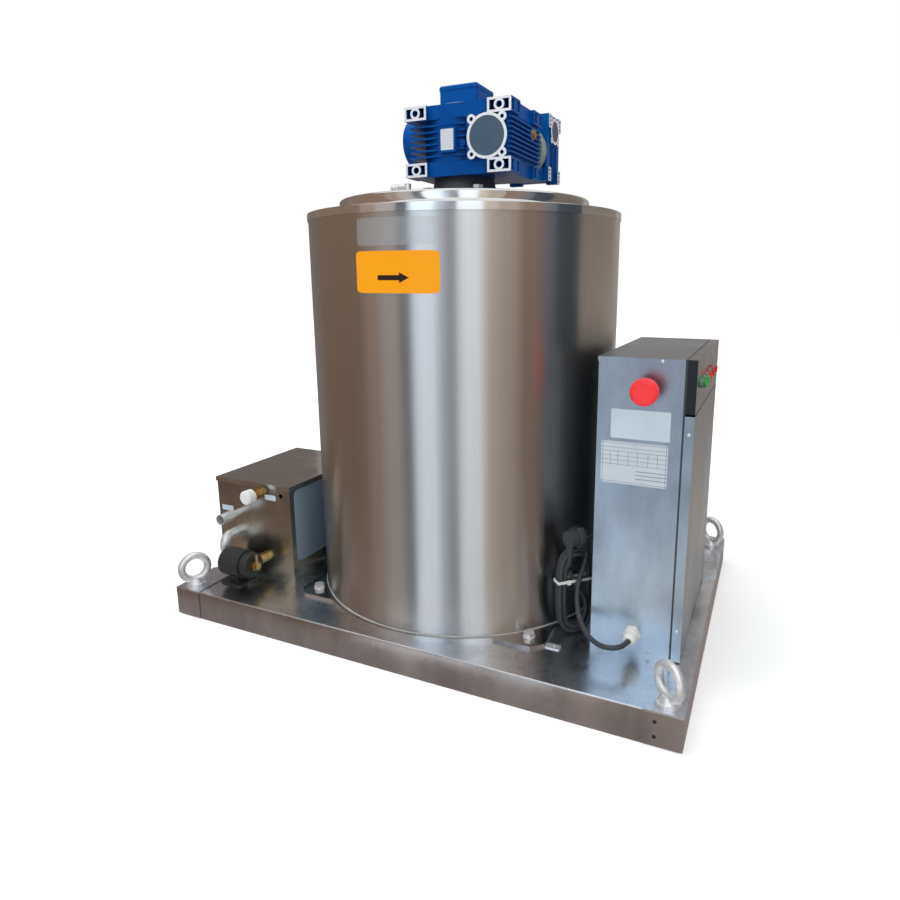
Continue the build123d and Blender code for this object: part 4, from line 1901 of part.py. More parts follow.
# Mushroom head that twists on the stem, with two raised arrows on its face
ARROW_MIDDLE = (ESTOP_HEAD + ESTOP_HUB) / 2 - ESTOP_ARROW
with BuildPart() as estop_head:
    with BuildSketch(Plane((ESTOP[0], 0, ESTOP[1]), x_dir=(1, 0, 0), z_dir=(0, 0, 1))):
        with BuildLine():
            Polyline(
                (0, HEAD_FACE),
                (ESTOP_HEAD - ESTOP_CROWN, HEAD_FACE),
                (ESTOP_HEAD - ESTOP_CROWN / 3, HEAD_FACE + ESTOP_CROWN / 3),
                (ESTOP_HEAD, HEAD_FACE + ESTOP_CROWN),
                (ESTOP_HEAD, HEAD_BACK - ESTOP_CROWN),
                (ESTOP_HEAD - ESTOP_CROWN, HEAD_BACK),
                (ESTOP_NECK, HEAD_BACK),
                (ESTOP_NECK, COLLAR_FACE + ESTOP_ARROW),
                (0, COLLAR_FACE + ESTOP_ARROW),
                close=True,
            )
        make_face()
    revolve(axis=Axis((ESTOP[0], 0, ESTOP[1]), (0, 1, 0)))
    with BuildSketch(facing_front(HEAD_FACE)):
        with Locations(ESTOP):
            Circle(ARROW_MIDDLE + ESTOP_ARROW)
            Circle(ARROW_MIDDLE - ESTOP_ARROW, mode=Mode.SUBTRACT)
            Rectangle(2 * ESTOP_HEAD, ESTOP_HUB, mode=Mode.SUBTRACT)
            with PolarLocations(ARROW_MIDDLE, 2, start_angle=ESTOP_ARROW_TURN):
                RegularPolygon(ESTOP_ARROW_TIP, 3)
    extrude(amount=ESTOP_ARROW)
    extrude(
        disc(facing_front(COLLAR_FACE + ESTOP_ARROW), ESTOP, ESTOP_STEM + RUNNING),
        amount=COLLAR_FACE + ESTOP_ARROW - STEM_FACE + SLIP,
        mode=Mode.SUBTRACT,
    )
save(estop_head, "estop_head")

# Cable gland with its lock nut inside the cabinet
GLAND_DOME_FACE = CABINET_Y - GLAND_HEX - GLAND_DOME
with BuildPart() as cable_gland:
    extrude(hexagon(facing_front(CABINET_Y), GLAND, GLAND_FLATS), amount=GLAND_HEX)
    extrude(disc(facing_front(CABINET_Y - GLAND_HEX), GLAND, GLAND_DOME_RADIUS), amount=GLAND_DOME)
    fillet(cable_gland.faces().sort_by(Axis.Y)[0].edges(), GLAND_DOME_RADIUS / 2)
    extrude(disc(facing_front(CABINET_Y), GLAND, GLAND_THREAD), amount=-(CABINET_SHEET + GLAND_INSIDE))
    extrude(
        hexagon(facing_front(CABINET_Y + CABINET_SHEET + GLAND_NUT), GLAND, GLAND_FLATS),
        amount=GLAND_NUT,
    )
    extrude(
        disc(facing_front(GLAND_DOME_FACE), GLAND, CORD_RADIUS),
        amount=-(GLAND_DOME - CORD_RADIUS),
        mode=Mode.SUBTRACT,
    )
save(cable_gland, "cable_gland")


def corner_radii(points, share):
    """Fillet radius of each inner corner of a route: a share of its shorter run over tan(half turn)."""
    route = [Vector(*point) for point in points]
    radii = []
    for before, here, after in zip(route, route[1:], route[2:]):
        incoming = here - before
        outgoing = after - here
        half_turn = radians(incoming.get_angle(outgoing) / 2)
        radii.append(share * min(incoming.length, outgoing.length) / tan(half_turn))
    return radii


# Power cord: the stretch between the gland and the hank
CORD_BENDS = corner_radii(CORD_ROUTE, CORD_SHARE)
print("cord bend radii", [round(bend, 1) for bend in CORD_BENDS])
with BuildPart() as power_cord:
    with BuildLine() as cord_line:
        FilletPolyline(*CORD_ROUTE, radius=CORD_BENDS)
    with BuildSketch(Plane(cord_line.line @ 0, z_dir=cord_line.line % 0)):
        Circle(CORD_RADIUS)
    sweep(path=cord_line.line)
CORD_LENGTH = sum(edge.length for edge in cord_line.edges())
print("cord length", round(CORD_LENGTH, 1), "tube volume", round(power_cord.part.volume))
save(power_cord, "power_cord")

# Hank: the outer shape of the folded cord, an upright oval ring
HANK_MIDDLE = BASE_HEIGHT + HANK_FLOOR_GAP + HANK_HEIGHT / 2
HANK_PLANE = Plane(
    (HANK_CENTRE[0], HANK_CENTRE[1], HANK_MIDDLE),
    x_dir=(cos(radians(HANK_HEADING)), sin(radians(HANK_HEADING)), 0),
    z_dir=(sin(radians(HANK_HEADING)), -cos(radians(HANK_HEADING)), 0),
)
with BuildPart() as cord_hank:
    with BuildSketch(HANK_PLANE.offset(-HANK_THICK / 2)):
        SlotOverall(HANK_HEIGHT, 2 * HANK_OUTER, rotation=90)
        SlotOverall(
            HANK_HEIGHT - 2 * (HANK_OUTER - HANK_INNER), 2 * HANK_INNER, rotation=90, mode=Mode.SUBTRACT
        )
    extrude(amount=HANK_THICK)
save(cord_hank, "cord_hank")

# Tie round the hank: a flat band with a small head and a cut tail
TIE_LEVEL = BASE_HEIGHT + TIE_HEIGHT
TIE_WIDE = 2 * (HANK_OUTER + TIE_PLAY)
TIE_DEEP = HANK_THICK + 2 * TIE_PLAY
TIE_PLANE = Plane(
    (HANK_CENTRE[0], HANK_CENTRE[1], TIE_LEVEL),
    x_dir=(cos(radians(HANK_HEADING)), sin(radians(HANK_HEADING)), 0),
    z_dir=(0, 0, 1),
)
with BuildPart() as hank_tie:
    with BuildSketch(TIE_PLANE.offset(-TIE_BAND / 2)):
        RectangleRounded(TIE_WIDE + 2 * TIE_SHEET, TIE_DEEP + 2 * TIE_SHEET, TIE_SHEET)
        Rectangle(TIE_WIDE, TIE_DEEP, mode=Mode.SUBTRACT)
    extrude(amount=TIE_BAND)
    with BuildSketch(TIE_PLANE.offset(-TIE_HEAD / 2)):
        with Locations((-TIE_WIDE / 4, -(TIE_DEEP + TIE_SHEET) / 2 - TIE_HEAD / 4)):
            Rectangle(TIE_HEAD, TIE_HEAD / 2)
    extrude(amount=TIE_HEAD)
save(hank_tie, "hank_tie")

# Plug on the cord's end: round face with two pins, earth recesses, and a grip that leans down
PLUG_PLANE = Plane(
    PLUG_CENTRE,
    x_dir=(-sin(radians(PLUG_HEADING)), cos(radians(PLUG_HEADING)), 0),
    z_dir=(cos(radians(PLUG_HEADING)), sin(radians(PLUG_HEADING)), 0),
)
NECK_START = Vector(*PLUG_CENTRE) - PLUG_PLANE.z_dir * (PLUG_GRIP / 2)
NECK_LINE = Vector(*PLUG_NECK_FOOT) - NECK_START
with BuildPart() as power_plug:
    with BuildSketch(PLUG_PLANE):
        Circle(PLUG_RADIUS)
    extrude(amount=PLUG_FACE)
    fillet(power_plug.edges().filter_by(GeomType.CIRCLE), PLUG_ROUND / 2)
    with BuildSketch(PLUG_PLANE):
        for side in (-1, 1):
            with Locations((0, side * PLUG_RADIUS)):
                Rectangle(PLUG_EARTH_WIDTH, 2 * PLUG_EARTH_DEPTH)
    extrude(amount=PLUG_FACE, mode=Mode.SUBTRACT)
    with BuildSketch(PLUG_PLANE.offset(-PLUG_GRIP)):
        Circle(PLUG_GRIP_RADIUS)
    extrude(amount=PLUG_GRIP + PLUG_ROUND)
    with Locations(Plane(NECK_START, z_dir=NECK_LINE).location):
        Cone(PLUG_NECK_TOP, PLUG_NECK_END, NECK_LINE.length, align=(Align.CENTER, Align.CENTER, Align.MIN))
    with BuildSketch(PLUG_PLANE.offset(PLUG_FACE)):
        with Locations((-PLUG_PIN_SPREAD / 2, 0), (PLUG_PIN_SPREAD / 2, 0)):
            Circle(PLUG_PIN)
    extrude(amount=PLUG_PIN_LENGTH)
save(power_plug, "power_plug")
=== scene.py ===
# %% [markdown]
# # A flake ice machine, dressed in its finishes
# The machine freezes water on the inside of an upright drum, and a turning blade scrapes the ice
# off as flakes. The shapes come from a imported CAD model. This lesson gives every part its real
# finish, and adds the pieces that a CAD model leaves plain: the cord, the labels, the screws.
# Everything is in metres, with the origin at the middle of the bed's underside, Z up, front at -Y.

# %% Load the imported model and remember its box
import math

import bmesh
import bpy
import numpy as np
from mathutils import Matrix, Vector


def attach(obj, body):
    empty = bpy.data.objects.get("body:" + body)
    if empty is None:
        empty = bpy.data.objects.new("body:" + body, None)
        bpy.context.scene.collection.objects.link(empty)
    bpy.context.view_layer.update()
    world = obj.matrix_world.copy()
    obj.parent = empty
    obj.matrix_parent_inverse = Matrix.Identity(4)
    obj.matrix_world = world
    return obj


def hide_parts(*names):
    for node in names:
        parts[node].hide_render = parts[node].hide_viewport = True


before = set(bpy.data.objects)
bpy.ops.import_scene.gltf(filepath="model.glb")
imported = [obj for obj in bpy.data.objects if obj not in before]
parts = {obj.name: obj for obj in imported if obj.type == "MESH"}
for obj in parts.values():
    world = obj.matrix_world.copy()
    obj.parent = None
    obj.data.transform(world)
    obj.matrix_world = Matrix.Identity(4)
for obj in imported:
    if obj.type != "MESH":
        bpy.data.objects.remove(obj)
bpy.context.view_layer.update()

# %% [markdown]
# ## Where the camera stands
# The photograph was taken standing close, a little above the cabinet's top and left of its
# corner. The lens is measured in pixels, and a sensor 36 mm wide turns that into millimetres.
# The small shift puts the picture's middle where the photograph has it.

# %% Make the camera
scene = bpy.context.scene
scene.view_settings.view_transform = "Standard"
FOCAL_PIXELS = 653.95
IMAGE_SIDE = 900.0
PICTURE_MIDDLE = (479.58, 409.73)
CAMERA_PLACE = Vector((0.5594, -1.1889, 0.6573))
CAMERA_YAW, CAMERA_PITCH, CAMERA_ROLL = (math.radians(a) for a in (-24.453, 11.591, -0.266))

camera = bpy.data.objects.new("camera", bpy.data.cameras.new("camera"))
scene.collection.objects.link(camera)
scene.camera = camera
forward = Vector((
    math.sin(CAMERA_YAW) * math.cos(CAMERA_PITCH),
    math.cos(CAMERA_YAW) * math.cos(CAMERA_PITCH),
    -math.sin(CAMERA_PITCH),
))
right = forward.cross(Vector((0, 0, 1))).normalized()
upward = right.cross(forward)
turned_right = right * math.cos(CAMERA_ROLL) + upward * math.sin(CAMERA_ROLL)
turned_up = upward * math.cos(CAMERA_ROLL) - right * math.sin(CAMERA_ROLL)
camera.matrix_world = Matrix((
    (turned_right.x, turned_up.x, -forward.x, CAMERA_PLACE.x),
    (turned_right.y, turned_up.y, -forward.y, CAMERA_PLACE.y),
    (turned_right.z, turned_up.z, -forward.z, CAMERA_PLACE.z),
    (0, 0, 0, 1),
))
camera.data.sensor_width = 36.0
camera.data.lens = 36.0 * FOCAL_PIXELS / IMAGE_SIDE
camera.data.shift_x = (IMAGE_SIDE / 2 - PICTURE_MIDDLE[0]) / IMAGE_SIDE
camera.data.shift_y = (PICTURE_MIDDLE[1] - IMAGE_SIDE / 2) / IMAGE_SIDE
camera.data.clip_start = 0.01
print("lens", round(camera.data.lens, 2), "mm")

# %% [markdown]
# ## The power cord, from the gland to the plug
# On the real machine a thin black rubber cord leaves a gland at the foot of the cabinet, swings
# out over the bed and climbs into a hank that a white tie holds. It could be a mesh tube, but a
# curve with a round bevel keeps its line smooth and easy to change, so it is one NURBS curve.
# The hank is four turns of an upright oval: two large ones side by side, then two smaller ones
# inside them. The last strand crosses the open middle to the plug.

# %% Measures of the cord
CORD_RADIUS = 0.004
CORD_ROUTE = [
    (0.3840, -0.2260, 0.0920),
    (0.3840, -0.2580, 0.0920),
    (0.3560, -0.2750, 0.0910),
    (0.3280, -0.2620, 0.0930),
    (0.3060, -0.2400, 0.1040),
    (0.2930, -0.2190, 0.1240),
    (0.2880, -0.2010, 0.1500),
    (0.2950, -0.1890, 0.1780),
]
HANK_MIDDLE = np.array((0.2810, -0.1860, 0.1343))
HANK_HEADING = math.radians(44.0)
ALONG = np.array((math.cos(HANK_HEADING), math.sin(HANK_HEADING), 0.0))
TOWARDS = np.array((math.sin(HANK_HEADING), -math.cos(HANK_HEADING), 0.0))
UPRIGHT = np.array((0.0, 0.0, 1.0))
FOLD_LEVEL = 0.043
LAYER = 0.0042


# %% One turn of the hank
def oval_points(radius, layer_from, layer_to, start=0.0, end=360.0, count=22):
    """Points of one turn: a half circle above, a half circle below and straight runs between.
    The angle goes round evenly; while the cosine's sign holds the side, the height adds the
    fold level above or below the middle. The layer slides evenly from one side to the other."""
    angle = np.radians(np.linspace(start, end, count, endpoint=False))
    blend = np.linspace(0.0, 1.0, count, endpoint=False)
    across = radius * np.cos(angle)
    rise = radius * np.sin(angle) + FOLD_LEVEL * np.tanh(2.6 * np.sin(angle))
    layer = layer_from + (layer_to - layer_from) * blend**3
    place = HANK_MIDDLE + across[:, None] * ALONG + rise[:, None] * UPRIGHT + layer[:, None] * TOWARDS
    return [tuple(p) for p in place]


hank_points = (
    oval_points(0.0320, LAYER, LAYER, 55.0, 90.0, 2)
    + oval_points(0.0320, LAYER, -LAYER, 90.0, 450.0)
    + oval_points(0.0320, -LAYER, -LAYER, 90.0, 440.0)
    + oval_points(0.0240, -LAYER, LAYER, 80.0, 440.0)
    + oval_points(0.0240, LAYER, LAYER, 80.0, 315.0, 15)
)
CROSSING = [(0.0210, -0.0260, LAYER), (0.0090, -0.0040, LAYER), (-0.0060, 0.0160, LAYER), (-0.0155, 0.0380, LAYER)]
crossing_points = [tuple(HANK_MIDDLE + a * ALONG + b * UPRIGHT + c * TOWARDS) for a, b, c in CROSSING]
cord_points = CORD_ROUTE + hank_points + crossing_points
print("cord points", len(cord_points))

# %% Make the cord's curve
cord_curve = bpy.data.curves.new("power_lead", "CURVE")
cord_curve.dimensions = "3D"
cord_curve.resolution_u = 6
cord_curve.bevel_depth = 1.0
cord_curve.bevel_resolution = 5
cord_curve.use_fill_caps = True
line = cord_curve.splines.new("NURBS")
line.points.add(len(cord_points) - 1)
line.points.foreach_set("co", np.c_[np.array(cord_points), np.ones(len(cord_points))].ravel())
line.points.foreach_set("radius", np.full(len(cord_points), CORD_RADIUS))
line.order_u = 3
line.use_endpoint_u = True
power_lead = bpy.data.objects.new("power_lead", cord_curve)
scene.collection.objects.link(power_lead)
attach(power_lead, "frame")
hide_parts("power_cord", "cord_hank")


# %% Measure the cord along its own line
def line_length(curve):
    """Length of a curve's centre line: the curve without its bevel is a chain of points, and the
    distances between neighbours are added up."""
    bevel = curve.bevel_depth
    curve.bevel_depth = 0.0
    holder = bpy.data.objects.new("measure", curve)
    mesh = bpy.data.meshes.new_from_object(holder)
    curve.bevel_depth = bevel
    places = np.zeros(len(mesh.vertices) * 3)
    mesh.vertices.foreach_get("co", places)
    bpy.data.meshes.remove(mesh)
    bpy.data.objects.remove(holder)
    steps = np.diff(places.reshape(-1, 3), axis=0)
    return float(np.linalg.norm(steps, axis=1).sum())


cord_length = line_length(cord_curve)
print("cord length", round(cord_length, 3), "m")

# %% [markdown]
# ## Floor and light
# Polished steel has hardly any colour of its own: it shows the room. So the room matters as much
# as the finish. The floor is plain and pale, and looks white to the camera without putting more
# light on the machine. Round the machine stands a ring of tall cards, as a product photographer
# sets them up. Bright cards make the upright bands on the drum, and brown and dark ones make the
# tones between them. The cards are hidden from the camera, which sees a white background.

# %% Floor with a white face
def white_rays(tree):
    """1 for the rays that should find a white background: those from the camera, and those that
    metal mirrors or glass lets through. The larger of the three is taken."""
    rays = tree.nodes.new("ShaderNodeLightPath")
    largest = rays.outputs["Is Camera Ray"]
    for other in ("Is Glossy Ray", "Is Transmission Ray"):
        pick = tree.nodes.new("ShaderNodeMath")
        pick.operation = "MAXIMUM"
        tree.links.new(largest, pick.inputs[0])
        tree.links.new(rays.outputs[other], pick.inputs[1])
        largest = pick.outputs[0]
    return largest


def glowing_stage(name, shade, near_glow, far_glow):
    """A matt surface that also glows for the rays that should find it white. The glow grows with
    the distance from the machine, so the shadow at its foot stays and the far floor is white."""
    material = bpy.data.materials.new(name)
    material.use_nodes = True
    tree = material.node_tree
    bsdf = tree.nodes["Principled BSDF"]
    bsdf.inputs["Base Color"].default_value = (shade, shade, shade, 1)
    bsdf.inputs["Roughness"].default_value = 0.9
    glow = tree.nodes.new("ShaderNodeEmission")
    both = tree.nodes.new("ShaderNodeAddShader")
    level = tree.nodes.new("ShaderNodeMath")
    level.operation = "MULTIPLY"
    distance = tree.nodes.new("ShaderNodeVectorMath")
    distance.operation = "LENGTH"
    tree.links.new(tree.nodes.new("ShaderNodeTexCoord").outputs["Object"], distance.inputs[0])
    spread = tree.nodes.new("ShaderNodeMapRange")
    for key, value in {"From Min": 0.5, "From Max": 2.2, "To Min": near_glow, "To Max": far_glow}.items():
        spread.inputs[key].default_value = value
    tree.links.new(distance.outputs["Value"], spread.inputs[0])
    tree.links.new(spread.outputs[0], level.inputs[1])
    tree.links.new(white_rays(tree), level.inputs[0])
    tree.links.new(level.outputs[0], glow.inputs["Strength"])
    tree.links.new(bsdf.outputs[0], both.inputs[0])
    tree.links.new(glow.outputs[0], both.inputs[1])
    tree.links.new(both.outputs[0], tree.nodes["Material Output"].inputs["Surface"])
    return material


def grid_mesh(name, points, wrap_rows=False, wrap_columns=False):
    """A mesh from an array of points, rows by columns by three. Each corner of the grid joins its
    right and upper neighbours into a four-sided face; a wrapped direction joins its end to its
    start, so it has no seam."""
    rows, columns = points.shape[:2]
    index = np.arange(rows * columns).reshape(rows, columns)
    if wrap_rows:
        index = np.vstack([index, index[:1]])
    if wrap_columns:
        index = np.hstack([index, index[:, :1]])
    faces = np.stack([index[:-1, :-1], index[:-1, 1:], index[1:, 1:], index[1:, :-1]], axis=-1)
    mesh = bpy.data.meshes.new(name)
    mesh.from_pydata(points.reshape(-1, 3).tolist(), [], faces.reshape(-1, 4).tolist())
    mesh.shade_smooth()
    made = bpy.data.objects.new(name, mesh)
    scene.collection.objects.link(made)
    return made


FLOOR_REACH = 7.0
FLOOR_DROP = 0.0005
floor_x, floor_y = np.meshgrid((-FLOOR_REACH, FLOOR_REACH), (-FLOOR_REACH, FLOOR_REACH))
floor = grid_mesh("floor", np.dstack([floor_x, floor_y, np.full((2, 2), -FLOOR_DROP)]))
floor.data.materials.append(glowing_stage("floor_white", 0.80, 0.30, 0.85))

# %% The room's own light
world = bpy.data.worlds.new("studio")
scene.world = world
world.use_nodes = True
sky = world.node_tree
room = sky.nodes["Background"]
room.inputs["Color"].default_value = (0.92, 0.96, 1.0, 1)
room.inputs["Strength"].default_value = 0.46
seen = sky.nodes.new("ShaderNodeBackground")
seen.inputs["Color"].default_value = (1, 1, 1, 1)
seen.inputs["Strength"].default_value = 1.0
choose = sky.nodes.new("ShaderNodeMixShader")
sky.links.new(white_rays(sky), choose.inputs[0])
sky.links.new(room.outputs[0], choose.inputs[1])
sky.links.new(seen.outputs[0], choose.inputs[2])
sky.links.new(choose.outputs[0], sky.nodes["World Output"].inputs["Surface"])

# %% Colours of the cards, by the heading in which the drum mirrors them
DRUM_MIDDLE = (0.0, -0.022)
DRUM_OUTSIDE = 0.290
CARDS = [
    ("left_back", -231, -196, (0.24, 0.21, 0.195), 0.80),
    ("left_brown", -196, -141, (0.225, 0.158, 0.120)),
    ("left_pale", -141, -128, (0.34, 0.26, 0.22)),
    ("left_grey", -128, -112, (0.42, 0.385, 0.37)),
    ("left_gap", -112, -103, (0.13, 0.135, 0.15)),
    ("front_window", -103, -85, (1.00, 1.12, 1.26)),
    ("front_shade", -85, -79, (0.52, 0.57, 0.66)),
    ("front_grey", -79, -70, (0.29, 0.30, 0.33)),
    ("front_right_window", -70, -52, (1.00, 1.06, 1.12)),
    ("right_warm", -52, -42, (0.55, 0.47, 0.40)),
    ("right_tan", -42, -27, (0.42, 0.36, 0.31)),
    ("right_brown", -27, -8, (0.25, 0.18, 0.145)),
    ("right_dusk", -8, 2, (0.15, 0.16, 0.19)),
    ("right_dark", 2, 24, (0.055, 0.066, 0.080)),
    ("right_back_warm", 24, 74, (0.50, 0.43, 0.37), 0.40),
    ("back", 74, 129, (0.34, 0.31, 0.29)),
]


def drum_column(heading):
    """The angle on the drum at which the camera sees a heading mirrored. A mirrored heading is
    twice the surface's angle less the direction to the camera; the table is read backwards."""
    angle = np.radians(np.linspace(-141.0, 12.0, 300))
    surface = DRUM_OUTSIDE * np.stack([np.cos(angle), np.sin(angle)])
    to_eye = np.array(CAMERA_PLACE[:2])[:, None] - np.array(DRUM_MIDDLE)[:, None] - surface
    mirrored = 2 * angle - np.arctan2(to_eye[1], to_eye[0])
    return np.interp(heading, [*mirrored, mirrored[0] + 2 * np.pi], [*angle, angle[0] + 2 * np.pi])


# %% Make the cards
CARD_FLOOR = -0.0003
CARD_RUN = np.array([0.14, 0.4, 0.8, 1.3, 1.8, 2.1, 2.25, 2.3, 2.3])
CARD_RISE = np.array([0.0, 0.0, 0.0, 0.0, 0.0, 0.06, 0.22, 0.5, 3.0])


def glow_only(made, colour, top=1.30):
    """Lets a stage piece glow in one colour, stronger with its height, for metal to mirror. It is
    hidden from the camera, and neither lights nor shades the floor and the paint."""
    material = bpy.data.materials.new(made.name)
    material.use_nodes = True
    tree = material.node_tree
    glow = tree.nodes.new("ShaderNodeEmission")
    glow.inputs["Color"].default_value = (*colour, 1.0)
    height = tree.nodes.new("ShaderNodeSeparateXYZ")
    rise = tree.nodes.new("ShaderNodeMapRange")
    tree.links.new(tree.nodes.new("ShaderNodeTexCoord").outputs["Object"], height.inputs[0])
    tree.links.new(height.outputs["Z"], rise.inputs[0])
    for key, value in {"From Min": 0.0, "From Max": 1.4, "To Min": 0.92, "To Max": top}.items():
        rise.inputs[key].default_value = value
    tree.links.new(rise.outputs[0], glow.inputs["Strength"])
    tree.links.new(glow.outputs[0], tree.nodes["Material Output"].inputs["Surface"])
    made.data.materials.append(material)
    made.visible_camera = False
    made.visible_shadow = False
    made.visible_diffuse = False


def card(name, start, end, colour, top=1.30):
    """A card that runs out from the drum over the floor and then rises. Every line of it starts
    on the drum's surface and goes the way the mirrored ray goes, so its edge looks upright."""
    heading = np.radians(np.linspace(start, end, 15))
    column = drum_column(heading)
    run, rise = CARD_RUN[:, None], CARD_RISE[:, None]
    x = DRUM_MIDDLE[0] + DRUM_OUTSIDE * np.cos(column) + run * np.cos(heading)
    y = DRUM_MIDDLE[1] + DRUM_OUTSIDE * np.sin(column) + run * np.sin(heading)
    glow_only(grid_mesh("card_" + name, np.dstack([x, y, CARD_FLOOR + rise + 0 * x])), colour, top)


for chosen_card in CARDS:
    card(*chosen_card)
APRON = (0.56, 0.41)
apron_x, apron_y = np.meshgrid((-APRON[0], APRON[0]), (-APRON[1], APRON[1]))
apron = grid_mesh("floor_apron", np.dstack([apron_x, apron_y, np.full((2, 2), CARD_FLOOR / 2)]))
glow_only(apron, (0.37, 0.33, 0.32))


# %% Soft lamps above and beside the machine
def soft_lamp(name, place, aim, width, height, power, tint=(1.0, 1.0, 1.0)):
    """A rectangular lamp that faces the point it is aimed at. Metal mirrors the cards, not it."""
    data = bpy.data.lights.new(name, "AREA")
    data.shape = "RECTANGLE"
    data.size = width
    data.size_y = height
    data.energy = power
    data.color = tint
    lamp = bpy.data.objects.new(name, data)
    scene.collection.objects.link(lamp)
    lamp.visible_camera = False
    lamp.visible_glossy = False
    facing = Vector(aim) - Vector(place)
    lamp.matrix_world = Matrix.Translation(place) @ facing.to_track_quat("-Z", "Y").to_matrix().to_4x4()
    return lamp


soft_lamp("overhead", (0.1, -0.5, 2.9), (0, 0, 0.5), 2.2, 1.8, 46)
soft_lamp("left_window", (-2.2, -1.7, 1.7), (0, 0, 0.45), 0.9, 1.4, 30, (0.92, 0.96, 1.0))
soft_lamp("right_window", (2.4, -1.6, 1.6), (0, 0, 0.45), 0.6, 1.4, 22, (1.0, 0.97, 0.92))
print("cards", len(CARDS), "and three lamps ready")

# %% [markdown]
# ## A small class for shader sums
# A finish is a sum of patterns: grain plus dust, minus wear. Wiring each sum by hand takes many
# lines, so this class wraps one node socket and lets Python's own operators add the Math nodes.
# It is the shortest way to write a pattern that a reader can still follow.


# %% The socket class
class Shade:
    """One value in a material: the output of a node. Operators on it add Math nodes."""

    def __init__(self, tree, socket=None):
        self.tree = tree
        self.socket = socket

    def node(self, kind, inputs, settings=None, output=0):
        """Adds a node: its settings first, then the values or links of its sockets."""
        made = self.tree.nodes.new(kind)
        for key, value in (settings or {}).items():
            if key == "stops":
                for stop in range(len(value) - 2):
                    made.color_ramp.elements.new(0.5)
                for element, (place, colour) in zip(made.color_ramp.elements, value):
                    element.position = place
                    element.color = (*colour, 1.0)
            else:
                setattr(made, key, value)
        for key, value in inputs.items():
            if isinstance(value, Shade):
                self.tree.links.new(value.socket, made.inputs[key])
            else:
                made.inputs[key].default_value = value
        return Shade(self.tree, made.outputs[output])

    def math(self, operation, *values):
        """A Math node on this value and up to two more."""
        places = dict(enumerate((self, *values)))
        return self.node("ShaderNodeMath", places, {"operation": operation})

    def __add__(self, other):
        return self.math("ADD", other)

    def __sub__(self, other):
        return self.math("SUBTRACT", other)

    def __mul__(self, other):
        return self.math("MULTIPLY", other)

    def __pow__(self, other):
        return self.math("POWER", other)

    def __rsub__(self, other):
        return (self * -1.0) + other

    def above(self, level, width):
        """A soft step: 0 below the level, 1 above it, over the given width."""
        return ((self - (level - width / 2)) * (1.0 / width)).clipped()

    def clipped(self):
        """The value kept between 0 and 1."""
        return self.node("ShaderNodeClamp", {0: self})

    __radd__ = __add__
    __rmul__ = __mul__


# %% Patterns that every finish is built from
def stretched(place, factors):
    """Place times a factor for each axis: a small factor draws a pattern out along that axis."""
    return place.node("ShaderNodeVectorMath", {0: place, 1: factors}, {"operation": "MULTIPLY"})


def grain(place, scale, detail=4.0, rough=0.55):
    """Smooth random values from 0 to 1, with features about 1 / scale metres wide."""
    inputs = {"Vector": place, "Scale": scale, "Detail": detail, "Roughness": rough}
    return place.node("ShaderNodeTexNoise", inputs)


def axes(place):
    """The three coordinates of a place as separate values."""
    x = place.node("ShaderNodeSeparateXYZ", {0: place})
    tree, source = x.tree, x.socket.node
    return [Shade(tree, source.outputs[i]) for i in range(3)]


def between(mask, low, high):
    """A colour that goes from low to high with the mask."""
    colours = [value if isinstance(value, Shade) else (*value, 1.0) for value in (low, high)]
    inputs = {0: mask, 6: colours[0], 7: colours[1]}
    return mask.node("ShaderNodeMix", inputs, {"data_type": "RGBA"}, output=2)


def bumped(height, depth, strength=1.0):
    """A bent normal from a height pattern whose full range is depth metres."""
    return height.node("ShaderNodeBump", {"Height": height, "Distance": depth, "Strength": strength})


def finish(name, recipe, **fixed):
    """A material whose recipe turns the object's own coordinates into shader inputs."""
    material = bpy.data.materials.new(name)
    material.use_nodes = True
    tree = material.node_tree
    shader = tree.nodes["Principled BSDF"]
    place = Shade(tree).node("ShaderNodeTexCoord", {}, output=3)
    chosen = {**{key.replace("_", " "): value for key, value in fixed.items()}, **recipe(place)}
    for key, value in chosen.items():
        if isinstance(value, Shade):
            tree.links.new(value.socket, shader.inputs[key])
        else:
            shader.inputs[key].default_value = (*value, 1.0) if isinstance(value, tuple) else value
    return material


print("shader tools ready")

# %% [markdown]
# ## Finishes of sheet steel
# The drum is rolled from brushed stainless sheet, whose fine grain runs upright. The bed, the
# tank and the cabinet's top are closer to a mirror, with faint waves from folding and a haze of
# finger marks. All start from near metal colours; grain, haze and waves make them differ, and
# so does painted reflection: colour that changes with height, a lighter lid and rim, and upright
# streaks on the drum.

# %% Brushed and polished stainless
STAINLESS = (0.60, 0.585, 0.565)
DRUM_MIDDLE_Y = -0.022


def upright_brushed(place):
    """Fine rings of grain from polishing smear a reflection upwards and downwards, which the
    shader's own anisotropy does. Slow noise drawn out along Z adds faint upright streaks to the
    colour, partly the brushing's own streaks and partly painted reflection of upright bands. A
    cloudy noise adds patches where the sheet was handled."""
    rings = grain(stretched(place, (1.0, 1.0, 30.0)), 60.0, 3.0)
    streak_and_reflection = grain(stretched(place, (1.0, 1.0, 0.015)), 120.0, 4.0)
    cloud = grain(place, 7.0, 3.0)
    # Painted reflection: the upright streaks lighten and darken bands of the drum's colour.
    colour = between(streak_and_reflection * 0.7 + cloud * 0.3, (0.52, 0.505, 0.485), (0.66, 0.65, 0.635))
    rough = 0.25 + streak_and_reflection * 0.05 + cloud * 0.03
    return {"Base Color": colour, "Roughness": rough, "Normal": bumped(rings, 0.00002, 0.3)}


def polished(place):
    """A near mirror: slow waves bend the reflections a little, and haze dulls them in patches."""
    wave = grain(place, 5.5, 2.0)
    haze = grain(place, 26.0, 5.0, 0.6)
    colour = between(haze, (0.50, 0.485, 0.465), (0.66, 0.645, 0.63))
    rough = 0.07 + (haze.above(0.52, 0.30)) * 0.12
    return {"Base Color": colour, "Roughness": rough, "Normal": bumped(wave, 0.0012, 0.35)}


